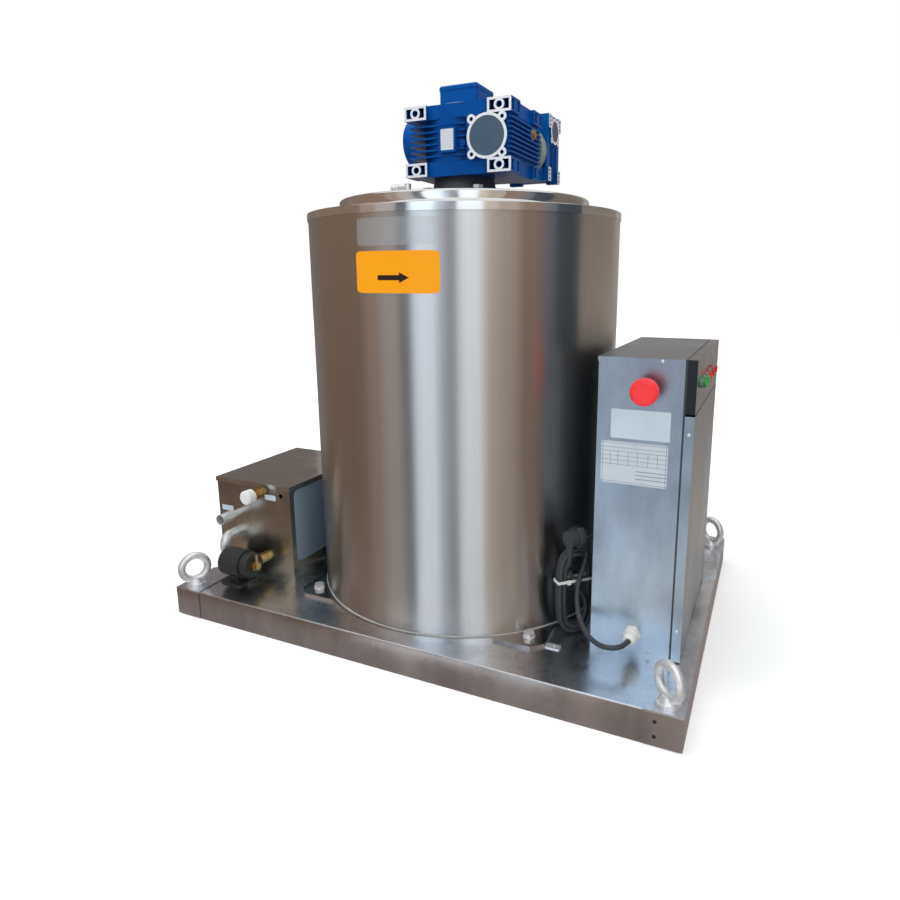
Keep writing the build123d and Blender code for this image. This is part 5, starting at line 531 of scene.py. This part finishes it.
def wiped_sheet_with_painted_light(low, high, levels, rough):
    """A recipe for sheet with a dull brushed face, as on the cabinet, the tank and the bed: fine
    upright grain, and cloudy smudges where it was wiped. The metal's tone goes from low to high
    between two levels; this change with height is painted reflection and light, lighter or
    darker bands where the faces mirror a brighter or darker room."""
    def recipe(place):
        hair = grain(stretched(place, (1.0, 1.0, 0.02)), 1100.0, 3.0)
        smudge = grain(stretched(place, (1.0, 1.0, 0.45)), 11.0, 6.0, 0.62)
        # Painted reflection: this mask picks a lighter or darker painted colour by height.
        height = axes(place)[2].above((levels[0] + levels[1]) / 2, levels[1] - levels[0])
        painted_light_tone = between(height, low, high)
        cloudy = smudge.above(0.5, 0.36) * 0.46 + 0.74
        return {
            "Base Color": painted_light_tone.node(
                "ShaderNodeVectorMath", {0: painted_light_tone, "Scale": cloudy}, {"operation": "SCALE"}),
            "Roughness": rough + hair * 0.06 + smudge.above(0.52, 0.4) * 0.10,
            "Normal": bumped(hair, 0.00002, 0.4),
        }
    return recipe


def machined(place):
    """Turned and milled steel: faint rings of grain and a few dark specks of oil."""
    turn = grain(stretched(place, (1.0, 1.0, 6.0)), 260.0, 3.0)
    speck = grain(place, 60.0, 6.0).above(0.62, 0.10)
    colour = between(speck, (0.55, 0.55, 0.56), (0.30, 0.29, 0.28))
    rough = 0.26 + turn * 0.18
    return {"Base Color": colour, "Roughness": rough, "Normal": bumped(turn, 0.00004, 0.5)}


def dark_polished(place):
    """The control panel's sheet: the same near mirror, tinted dark."""
    chosen = polished(place)
    haze = grain(place, 26.0, 5.0, 0.6)
    chosen["Base Color"] = between(haze, (0.018, 0.018, 0.020), (0.042, 0.041, 0.043))
    return chosen


def bright_polished(place):
    """The lid and the drum's rim: the same near mirror, with a lighter colour painted in for the brighter reflections
    they show.
    """
    chosen = polished(place)
    haze = grain(place, 26.0, 5.0, 0.6)
    # Painted reflection: a lighter base colour than the plain polished sheet.
    chosen["Base Color"] = between(haze, (0.68, 0.685, 0.685), (0.82, 0.82, 0.815))
    return chosen


bright_sheet = finish("bright_sheet", bright_polished, Metallic=1.0)
drum_steel = finish("drum_steel", upright_brushed, Metallic=1.0, Anisotropic=0.9, Anisotropic_Rotation=0.25)
panel_sheet = finish("panel_sheet", dark_polished, Metallic=1.0)
mirror_sheet = finish("mirror_sheet", polished, Metallic=1.0)
# Painted reflection and light: the cabinet is paler and bluer low down, the bed's top face is paler and bluer than its
# browner sides, and the tank is darker towards its top.
cabinet_steel = finish("cabinet_steel", wiped_sheet_with_painted_light((0.58, 0.68, 0.77), (0.33, 0.37, 0.42), (0.08, 0.50), 0.26), Metallic=1.0)
bed_sheet = finish("bed_sheet", wiped_sheet_with_painted_light((0.50, 0.47, 0.46), (0.80, 0.84, 0.90), (0.0530, 0.0548), 0.20), Metallic=1.0)
tank_sheet = finish("tank_sheet", wiped_sheet_with_painted_light((0.72, 0.74, 0.66), (0.42, 0.41, 0.40), (0.10, 0.23), 0.17), Metallic=1.0)
machined_steel = finish("machined_steel", machined, Metallic=1.0)
print("steels", drum_steel.name, mirror_sheet.name, cabinet_steel.name, machined_steel.name)

# %% [markdown]
# ## Paint on the castings
# The gearboxes and the motor are cast iron and aluminium under thick blue enamel. The faces that
# other machines bolt to were milled after painting, so the pads and the ring show bare white
# metal. A mask on the height above the front plane finds those faces, whatever their outline.

# %% Blue enamel with bare milled faces
MAIN_FRONT = -0.101
FIRST_RIGHT_FACE = 0.132
ENAMEL = (0.004, 0.060, 0.255)


def enamel_with_mask(place, mask):
    """Enamel where the mask is 0 and bare milled metal where it is 1. Small lumps in the paint
    come from the sand the iron was cast in."""
    lump = grain(place, 240.0, 4.0)
    fade = grain(place, 18.0, 4.0)
    paint = between(fade, (0.0002, 0.042, 0.210), (0.0005, 0.098, 0.380))
    bare = between(lump, (0.78, 0.81, 0.84), (0.90, 0.92, 0.94))
    colour = between(mask, paint, bare)
    rough = 0.24 + fade * 0.14 + mask * 0.10
    return {
        "Base Color": colour,
        "Roughness": rough,
        "Metallic": mask * 0.35,
        "Normal": bumped(lump * (1.0 - mask), 0.00025, 0.5),
    }


def main_enamel(place):
    """Bare metal on the front plane of the main gearbox."""
    x, y, z = axes(place)
    front = 1.0 - y.above(MAIN_FRONT + 0.0006, 0.0004)
    return enamel_with_mask(place, front)


def first_enamel(place):
    """Bare metal on the plane that faces right on the smaller gearbox."""
    x, y, z = axes(place)
    return enamel_with_mask(place, x.above(FIRST_RIGHT_FACE - 0.0006, 0.0004))


def motor_enamel(place):
    """Enamel all over, with no bare face."""
    x, y, z = axes(place)
    return enamel_with_mask(place, x.above(2.0, 1.0))


main_paint = finish("main_gearbox_enamel", main_enamel, Specular_IOR_Level=0.11)
first_paint = finish("first_gearbox_enamel", first_enamel, Specular_IOR_Level=0.11)
motor_paint = finish("motor_enamel", motor_enamel, Specular_IOR_Level=0.11)


def satin(dark, light, scale, rough, lump):
    """A recipe for a plain finish: two near colours in soft patches, and a fine skin."""
    def recipe(place):
        patch = grain(place, scale, 4.0)
        skin = grain(place, scale * 14.0, 3.0)
        return {
            "Base Color": between(patch, dark, light),
            "Roughness": rough + patch * 0.10,
            "Normal": bumped(skin, lump, 0.6),
        }
    return recipe


cap_paint = finish("cap_grey", satin((0.045, 0.075, 0.120), (0.064, 0.105, 0.160), 40.0, 0.38, 0.00006))
grey_green = finish("flange_grey_green", satin((0.19, 0.24, 0.22), (0.26, 0.31, 0.28), 40.0, 0.38, 0.0001))
dark_iron = finish("dark_iron", satin((0.040, 0.048, 0.058), (0.070, 0.080, 0.092), 40.0, 0.34, 0.0001))
foam = finish("foam", satin((0.70, 0.58, 0.34), (0.80, 0.69, 0.44), 60.0, 0.85, 0.0004))
black_rubber = finish("black_rubber", satin((0.026, 0.030, 0.035), (0.048, 0.054, 0.062), 70.0, 0.46, 0.00006))
black_plastic = finish("black_plastic", satin((0.015, 0.015, 0.016), (0.030, 0.030, 0.032), 60.0, 0.36, 0.00005))
white_plastic = finish("white_plastic", satin((0.70, 0.70, 0.67), (0.80, 0.80, 0.78), 50.0, 0.36, 0.00004))
float_plastic = finish("float_plastic", satin((0.62, 0.61, 0.57), (0.72, 0.71, 0.67), 50.0, 0.40, 0.00005))
red_plastic = finish("red_plastic", satin((0.94, 0.018, 0.024), (1.0, 0.032, 0.040), 60.0, 0.26, 0.00003), Coat_Weight=0.1)
part_plastic = finish("part_plastic", satin((0.30, 0.31, 0.32), (0.40, 0.41, 0.42), 50.0, 0.45, 0.00004))
print("paints and plastics ready")


# %% [markdown]
# ## Brass, copper and blade steel
# Fittings that touch water are brass, left bare, so they show small dull patches. The blade is
# hardened steel with a ground edge, and the evaporator's wall is ground smooth.

# %% Bare metals
def tarnished(bright, dull):
    """A recipe for bare metal: the dull colour gathers in small cloudy patches."""
    def recipe(place):
        patch = grain(place, 90.0, 6.0, 0.6)
        turn = grain(stretched(place, (1.0, 6.0, 1.0)), 300.0, 2.0)
        return {
            "Base Color": between(patch.above(0.55, 0.35), bright, dull),
            "Roughness": 0.22 + patch * 0.22,
            "Normal": bumped(turn, 0.00003, 0.5),
        }
    return recipe


brass = finish("brass", tarnished((0.72, 0.50, 0.20), (0.46, 0.30, 0.12)), Metallic=1.0)
copper = finish("copper", tarnished((0.75, 0.36, 0.22), (0.42, 0.20, 0.13)), Metallic=1.0)
blade_steel = finish("blade_steel", tarnished((0.50, 0.50, 0.52), (0.34, 0.34, 0.35)), Metallic=1.0)
zinc = finish("zinc", tarnished((0.96, 0.98, 1.0), (0.76, 0.77, 0.78)), Metallic=0.75)


def lens_colours(place):
    """Lamp lenses: the place along the panel picks the colour, first two greens and then the
    reds. Steps in the Y coordinate choose between them."""
    x, y, z = axes(place)
    first = y.above(-0.128, 0.004)
    third = y.above(-0.086, 0.004)
    last = y.above(-0.044, 0.004)
    colour = between(first, (0.01, 0.30, 0.05), (0.01, 0.34, 0.06))
    colour = between(third, colour, (0.62, 0.02, 0.012))
    colour = between(last, colour, (0.55, 0.015, 0.01))
    bezel = 1.0 - x.above(0.4622, 0.0004)
    return {
        "Base Color": between(bezel, colour, (0.35, 0.35, 0.36)),
        "Roughness": 0.16 + bezel * 0.2,
        "Metallic": bezel * 0.9,
    }


lenses = finish("lamp_lenses", lens_colours)
print("metals and lenses ready")

# %% [markdown]
# ## Turned sheet: the drum, its rim and the lid
# These are rolled or spun from thin sheet. The CAD model cuts their rounds into flat facets, and
# a mirror finish shows every one of them. So each is worked out again as a smooth surface: its
# profile, a list of radius and height pairs, is carried round the drum's axis.

# %% Tools for smooth pieces
def set_finish(thing, material):
    """Leaves one material on an object's data."""
    thing.data.materials.clear()
    thing.data.materials.append(material)


def fitted(piece, material, stands_for=(), body="frame", crease=32.0):
    """Closes a piece's seams, points its faces outwards, keeps edges sharper than the crease, gives
    it its material, hangs it on the body that carries it, and hides the CAD nodes it stands for."""
    form = bmesh.new()
    form.from_mesh(piece.data)
    bmesh.ops.remove_doubles(form, verts=form.verts, dist=1e-6)
    bmesh.ops.recalc_face_normals(form, faces=form.faces)
    form.to_mesh(piece.data)
    form.free()
    piece.data.shade_smooth()
    piece.data.set_sharp_from_angle(angle=math.radians(crease))
    set_finish(piece, material)
    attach(piece, body)
    if stands_for:
        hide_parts(*stands_for)
    return piece


def arc(middle, radius, start, end, count=8):
    """A round corner: the middle plus the radius times the cosine and the sine of each angle."""
    angle = np.radians(np.linspace(start, end, count))
    return [*zip(middle[0] + radius * np.cos(angle), middle[1] + radius * np.sin(angle))]


def turned(name, profile, steps=288):
    """A closed profile carried round the drum's axis: x and y are the radius times the cosine and
    the sine of the turn, and z is the height."""
    radius, height = np.array(profile).T[:, :, None]
    turn = np.linspace(0.0, 2 * np.pi, steps, endpoint=False)
    x = DRUM_MIDDLE[0] + radius * np.cos(turn)
    y = DRUM_MIDDLE[1] + radius * np.sin(turn)
    return grid_mesh(name, np.dstack([x, y, height + 0 * x]), wrap_rows=True, wrap_columns=True)


# %% The shell, the rim and the lid
FLANGE_TOP = 0.060
DRUM_TOP = 0.757
CAP_TOP = 0.766
LID_TOP = 0.791
SHEET = 0.002
COVER_SHEET = 0.003
RIM_REACH = DRUM_OUTSIDE + 0.0016
RIM_ROUND = 0.00125
LID_REACH = 0.233

shell_profile = [
    (DRUM_OUTSIDE - SHEET, FLANGE_TOP), (DRUM_OUTSIDE, FLANGE_TOP),
    (DRUM_OUTSIDE, DRUM_TOP), (DRUM_OUTSIDE - SHEET, DRUM_TOP),
]
rim_profile = [
    (0.234, 0.700), (0.237, 0.700), (0.237, CAP_TOP - COVER_SHEET),
    (DRUM_OUTSIDE + 0.00015, CAP_TOP - COVER_SHEET), (DRUM_OUTSIDE + 0.00015, 0.753), (RIM_REACH, 0.753),
    *arc((RIM_REACH - RIM_ROUND, CAP_TOP - RIM_ROUND), RIM_ROUND, 0, 90),
    (0.227, CAP_TOP), (0.227, CAP_TOP - COVER_SHEET), (0.234, CAP_TOP - COVER_SHEET),
]
lid_profile = [
    (0.040, LID_TOP),
    *arc((LID_REACH - 0.005, LID_TOP - 0.005), 0.005, 90, 0),
    (LID_REACH, CAP_TOP + 0.012),
    *arc((LID_REACH + 0.0025, CAP_TOP + 0.0035), 0.0035, 90, -90, 12),
    (LID_REACH - COVER_SHEET, CAP_TOP), (LID_REACH - COVER_SHEET, LID_TOP - COVER_SHEET),
    (0.040, LID_TOP - COVER_SHEET),
]
fitted(turned("smooth_drum_shell", shell_profile), drum_steel, ["drum_shell"])
fitted(turned("smooth_top_ring", rim_profile), bright_sheet, ["drum_top_ring"])
fitted(turned("smooth_top_lid", lid_profile), bright_sheet, ["top_lid"])
print("turned pieces of", len(shell_profile), len(rim_profile), len(lid_profile), "profile points")

# %% [markdown]
# ## The seal at the drum's foot
# Where the shell meets its flange, the joint is sealed with a line of silicone, put on by hand.
# It is never even, so its size swells and shrinks on the way round.

# %% Lay the bead
silicone = finish("silicone", satin((0.28, 0.29, 0.30), (0.42, 0.43, 0.44), 80.0, 0.30, 0.0002))
BEAD_SIZE = 0.0018


def sealing_bead(name, steps=720):
    """A quarter round in the corner between wall and flange. Its size is the mean size times one
    plus a few sine waves of the turn, so it looks laid by hand."""
    turn = np.linspace(0.0, 2 * np.pi, steps, endpoint=False)
    size = BEAD_SIZE * (1 + 0.16 * np.sin(9 * turn + 0.4) + 0.12 * np.sin(31 * turn) + 0.07 * np.sin(83 * turn + 2))
    out, up = np.array([(0.0, 0.0), *arc((0.0, 0.0), 1.0, 0, 90, 9)]).T[:, :, None]
    reach = DRUM_OUTSIDE + out * size
    points = [DRUM_MIDDLE[0] + reach * np.cos(turn), DRUM_MIDDLE[1] + reach * np.sin(turn), FLANGE_TOP + up * size]
    return grid_mesh(name, np.dstack(points), wrap_rows=True, wrap_columns=True)


fitted(sealing_bead("foot_seal"), silicone)
print("seal laid, about", round(BEAD_SIZE * 1000, 1), "mm")

# %% [markdown]
# ## Labels, films and plates
# The machine carries stickers and small plates. A sticker is a thin panel that follows what it
# sticks to, flat or curved. All of them are left without words: the orange one keeps the arrow
# that shows which way the blade turns, and the data plate keeps its ruled table.

# %% Thin panels on flat and round places
def panel(name, width, height, sheet, place, corner_power=16.0, rings=14, around=128):
    """A thin panel, made of rings that grow from its middle to its rim on the outer face and
    shrink back on the inner one. The rim is the curve on which the across share to the power n
    plus the up share to the power n is one: a high n gives straight sides with round corners."""
    turn = np.linspace(0.0, 2 * np.pi, around, endpoint=False)
    rim = (np.abs(np.cos(turn)) ** corner_power + np.abs(np.sin(turn)) ** corner_power) ** (-1 / corner_power)
    share = np.r_[np.linspace(0, 1, rings), np.linspace(1, 0, rings)][:, None]
    off = np.repeat([sheet, 0.0], rings)[:, None]
    across = width / 2 * share * rim * np.cos(turn)
    up = height / 2 * share * rim * np.sin(turn)
    return grid_mesh(name, place(across, up, off + 0 * across), wrap_columns=True)


def on_round(heading, level, radius):
    """Places on an upright round wall about the drum's axis: the distance across turns into an
    angle when it is divided by the radius."""
    def place(across, up, off):
        turn = math.radians(heading) + across / radius
        reach = radius + off
        return np.dstack([DRUM_MIDDLE[0] + reach * np.cos(turn), DRUM_MIDDLE[1] + reach * np.sin(turn), level + up])
    return place


def on_front(x, y, z):
    """Places on an upright flat wall that faces the front."""
    def place(across, up, off):
        return np.dstack([x + across, y - off, z + up])
    return place


def on_side(x, y, z):
    """Places on an upright flat wall that faces right."""
    def place(across, up, off):
        return np.dstack([x + off, y + across, z + up])
    return place


# %% Print on the labels
LABEL_HEADING = -86.3
LABEL_LEVEL = 0.6632
ARROW_LEVEL = -0.0084
ARROW_TAIL, ARROW_NECK, ARROW_TIP = -0.0307, 0.0072, 0.0237
SOFT_EDGE = 0.0005


def ruled(value, levels, half):
    """Thin lines at the given levels of one coordinate: the sum of one narrow band for each."""
    lines = [1.0 - (value - level).math("ABSOLUTE").above(half, half) for level in levels]
    total = lines[0]
    for other in lines[1:]:
        total = total + other
    return total.clipped()


def arrow_label(place):
    """Orange film with a black arrow. The angle about the drum's axis, times its radius, is the
    distance across the label. The shaft is a band, and the head narrows evenly to its tip."""
    x, y, z = axes(place)
    turn = (y - DRUM_MIDDLE[1]).math("ARCTAN2", x)
    across = (turn - math.radians(LABEL_HEADING)) * DRUM_OUTSIDE
    thick = (z - (LABEL_LEVEL + ARROW_LEVEL)).math("ABSOLUTE")
    shaft = (1.0 - thick.above(0.0038, SOFT_EDGE)) * across.above(ARROW_TAIL, SOFT_EDGE)
    shaft = shaft * (1.0 - across.above(ARROW_NECK + 0.001, SOFT_EDGE))
    head = (1.0 - (thick + across * 0.5).above(ARROW_TIP / 2, SOFT_EDGE)) * across.above(ARROW_NECK, SOFT_EDGE)
    patch = grain(place, 30.0, 4.0)
    film = between(patch, (0.94, 0.34, 0.001), (1.0, 0.39, 0.002))
    return {
        "Base Color": between((shaft + head).clipped(), film, (0.02, 0.008, 0.006)),
        "Roughness": 0.34 + patch * 0.10,
    }


def table_plate(place):
    """Pale printed foil with a ruled table and a few ruled lines, and no words."""
    x, y, z = axes(place)
    frame_lines = ruled(x, (0.3265, 0.4225), 0.0003) + ruled(z, (0.3425, 0.4045), 0.0003)
    rows = ruled(z, (0.3975, 0.3915, 0.3845, 0.3775, 0.3705), 0.0003)
    columns = ruled(x, (0.3385, 0.3500, 0.3660, 0.3800, 0.3960, 0.4100), 0.0003)
    inside = z.above(0.3705, 0.0002) * (1.0 - z.above(0.3915, 0.0002))
    short_lines = ruled(z, (0.3620, 0.3560, 0.3500), 0.0005) * x.above(0.378, 0.0004)
    mark = (frame_lines + rows + columns * inside + short_lines).clipped()
    patch = grain(place, 60.0, 4.0)
    foil = between(patch, (0.50, 0.555, 0.61), (0.60, 0.655, 0.71))
    return {"Base Color": between(mark * 0.8, foil, (0.05, 0.055, 0.07)), "Roughness": 0.30 + patch * 0.14}


def small_plate(place):
    """The gearbox's type plate: pale foil with six ruled lines."""
    x, y, z = axes(place)
    mark = ruled(z, (0.8795, 0.8845, 0.8895, 0.8945, 0.8995, 0.9045), 0.0002)
    patch = grain(place, 90.0, 4.0)
    return {
        "Base Color": between(mark * 0.40, between(patch, (0.56, 0.61, 0.66), (0.66, 0.70, 0.75)), (0.10, 0.13, 0.20)),
        "Roughness": 0.30 + patch * 0.10,
    }


arrow_film = finish("arrow_film", arrow_label, Specular_IOR_Level=0.25)
table_foil = finish("table_foil", table_plate)
type_foil = finish("type_foil", small_plate)
# Painted reflection: this pale blue film on the tank's right side stands for the room that the side mirrors.
painted_reflection_film = finish("painted_reflection_film", satin((0.19, 0.25, 0.31), (0.25, 0.32, 0.38), 22.0, 0.34, 0.00004))
white_film = finish("white_film", satin((0.50, 0.60, 0.67), (0.58, 0.67, 0.73), 40.0, 0.32, 0.00002))
clear_film = finish("clear_film", satin((0.62, 0.68, 0.74), (0.74, 0.80, 0.86), 50.0, 0.20, 0.00003), Alpha=0.09)
# Painted shade: the near black stands for the dark inside of a hole.
hole_painted_shade = finish("hole_painted_shade", satin((0.010, 0.010, 0.011), (0.020, 0.020, 0.021), 60.0, 0.60, 0.00002))

# %% Put the labels on
FILM = 0.0003
CABINET_FACE = -0.2140
TANK_FACE = -0.2340
TANK_SIDE = -0.2840
PAD_PLACE = (0.0040, 0.8920)
PAD_REACH = 0.0075
LABELS = [
    ("direction_label", 0.1453, 0.0640, FILM, on_round(LABEL_HEADING, LABEL_LEVEL, DRUM_OUTSIDE), arrow_film),
    ("clear_label", 0.1380, 0.0415, FILM, on_round(-86.2, 0.7240, DRUM_OUTSIDE + 0.0001), clear_film),
    ("stop_plate", 0.0890, 0.0455, 0.0008, on_front(0.3820, CABINET_FACE, 0.4353), white_film),
    ("data_plate", 0.1010, 0.0670, FILM, on_front(0.3745, CABINET_FACE, 0.3735), table_foil),
    ("type_pad", 0.0330, 0.0430, PAD_REACH, on_front(PAD_PLACE[0], -0.0930, PAD_PLACE[1]), motor_paint),
    ("type_plate", 0.0250, 0.0350, FILM, on_front(PAD_PLACE[0], -0.0930 - PAD_REACH, PAD_PLACE[1]), type_foil),
    # Painted reflection: a pale patch for the room mirrored on the tank's right side.
    ("painted_reflection_film", 0.1600, 0.1500, FILM, on_side(TANK_SIDE, -0.1420, 0.1680), painted_reflection_film),
    ("inlet_label", 0.0270, 0.0110, FILM, on_front(-0.3330, TANK_FACE, 0.2265), white_film),
    ("outlet_label", 0.0300, 0.0110, FILM, on_front(-0.4480, TANK_FACE, 0.1893), white_film),
    # The two black patches are painted shade, the dark inside two small holes.
    ("painted_shade_hole_upper", 0.0060, 0.0060, FILM / 2, on_front(0.4450, -0.3465, 0.0400), hole_painted_shade),
    ("painted_shade_hole_lower", 0.0060, 0.0060, FILM / 2, on_front(0.4450, -0.3465, 0.0160), hole_painted_shade),
]
for name, width, height, sheet, place, material in LABELS:
    power = 2.0 if "hole" in name else 40.0 if "plate" in name else 16.0
    fitted(panel(name, width, height, sheet, place, power), material)
print("labels", len(LABELS))

# %% [markdown]
# ## Screws
# The cabinet's top, its foot and its cover are held with small domed screws with a cross in the
# head. A height over a round grid gives both the dome and the cross in one formula.

# %% Cross-headed screws
def screw_head(name, x, y, z, radius=0.0028):
    """A dome with a cross cut in it, facing the front. The height is a quarter ellipse of the
    distance from the middle; where a point lies in either bar of the cross, it sinks."""
    share = np.r_[0.0, np.linspace(0.08, 1.0, 14), 1.0][:, None]
    turn = np.linspace(0.0, 2 * np.pi, 64, endpoint=False)
    across, up = share * np.cos(turn), share * np.sin(turn)
    height = 0.55 * np.sqrt(1 - 0.96 * share**2) + 0 * turn
    in_cross = (np.minimum(np.abs(across), np.abs(up)) < 0.13) & (share < 0.62)
    height = np.where(in_cross, height - 0.34, height)
    height[-1] = 0.0
    off = np.vstack([height, np.zeros_like(turn)[None]])
    across, up = (np.vstack([part, np.zeros_like(turn)[None]]) for part in (across, up))
    return grid_mesh(name, on_front(x, y, z)(radius * across, radius * up, radius * off), wrap_columns=True)


SCREWS = [(0.4106, -0.2152, 0.5333), (0.4109, -0.2140, 0.0640), (0.4530, -0.2140, 0.4263), (0.4530, -0.2140, 0.1102)]
for number, place in enumerate(SCREWS):
    fitted(screw_head(f"panel_screw_{number + 1}", *place), zinc)
print("screws", len(SCREWS))

# %% [markdown]
# ## Each CAD part gets its finish
# A carried-over part keeps its shape and only changes its material slots.

# %% Give the finishes to the CAD nodes
NODE_FINISH = {
    "base_tray": bed_sheet, "corner_plates": bed_sheet, "drum_flange": mirror_sheet,
    "drum_shell": drum_steel, "drum_top_ring": mirror_sheet, "top_lid": mirror_sheet,
    "outlet_liner": mirror_sheet, "water_gutter": mirror_sheet, "gutter_drain": mirror_sheet,
    "tank_body": tank_sheet, "tank_lid": mirror_sheet, "tank_pipes": zinc,
    "water_pan": mirror_sheet, "cabinet_body": cabinet_steel, "cabinet_cover": cabinet_steel,
    "control_panel": panel_sheet, "earth_tab": zinc, "water_feed_pipe": zinc,
    "base_crossbeams": machined_steel, "spindle": machined_steel, "output_sleeve": machined_steel,
    "component_plate": zinc, "lower_spider": machined_steel, "upper_bearing_housing": machined_steel,
    "blade_carrier": machined_steel, "estop_stem": machined_steel, "gearbox_mount_plate": machined_steel,
    "lifting_eyes": zinc, "hex_bolts": zinc, "evaporator_cylinder": blade_steel,
    "ice_blade": blade_steel, "spindle_bushes": brass, "oil_plug": brass, "pump_unions": brass,
    "inlet_valve": brass, "refrigerant_stubs": copper, "main_gearbox_housing": main_paint,
    "first_gearbox_housing": first_paint, "motor_housing": motor_paint, "motor_fan_cowl": motor_paint,
    "terminal_box": motor_paint, "gearbox_output_flange": dark_iron, "coupling_flange": grey_green,
    "gearbox_caps": cap_paint, "drum_insulation": foam, "cabinet_gasket": black_rubber,
    "squeegee": black_rubber, "power_cord": black_rubber, "cord_hank": black_rubber,
    "power_plug": black_rubber, "inlet_cap": white_plastic, "hank_tie": white_plastic,
    "cable_gland": white_plastic, "electrical_parts": part_plastic, "float_arm": float_plastic,
    "circulating_pump": black_plastic, "estop_base": black_plastic, "estop_head": red_plastic,
    "indicator_lamps": lenses,
}


for name, material in NODE_FINISH.items():
    set_finish(parts[name], material)
set_finish(power_lead, black_rubber)
print("nodes without a finish", sorted(set(parts) - set(NODE_FINISH)))
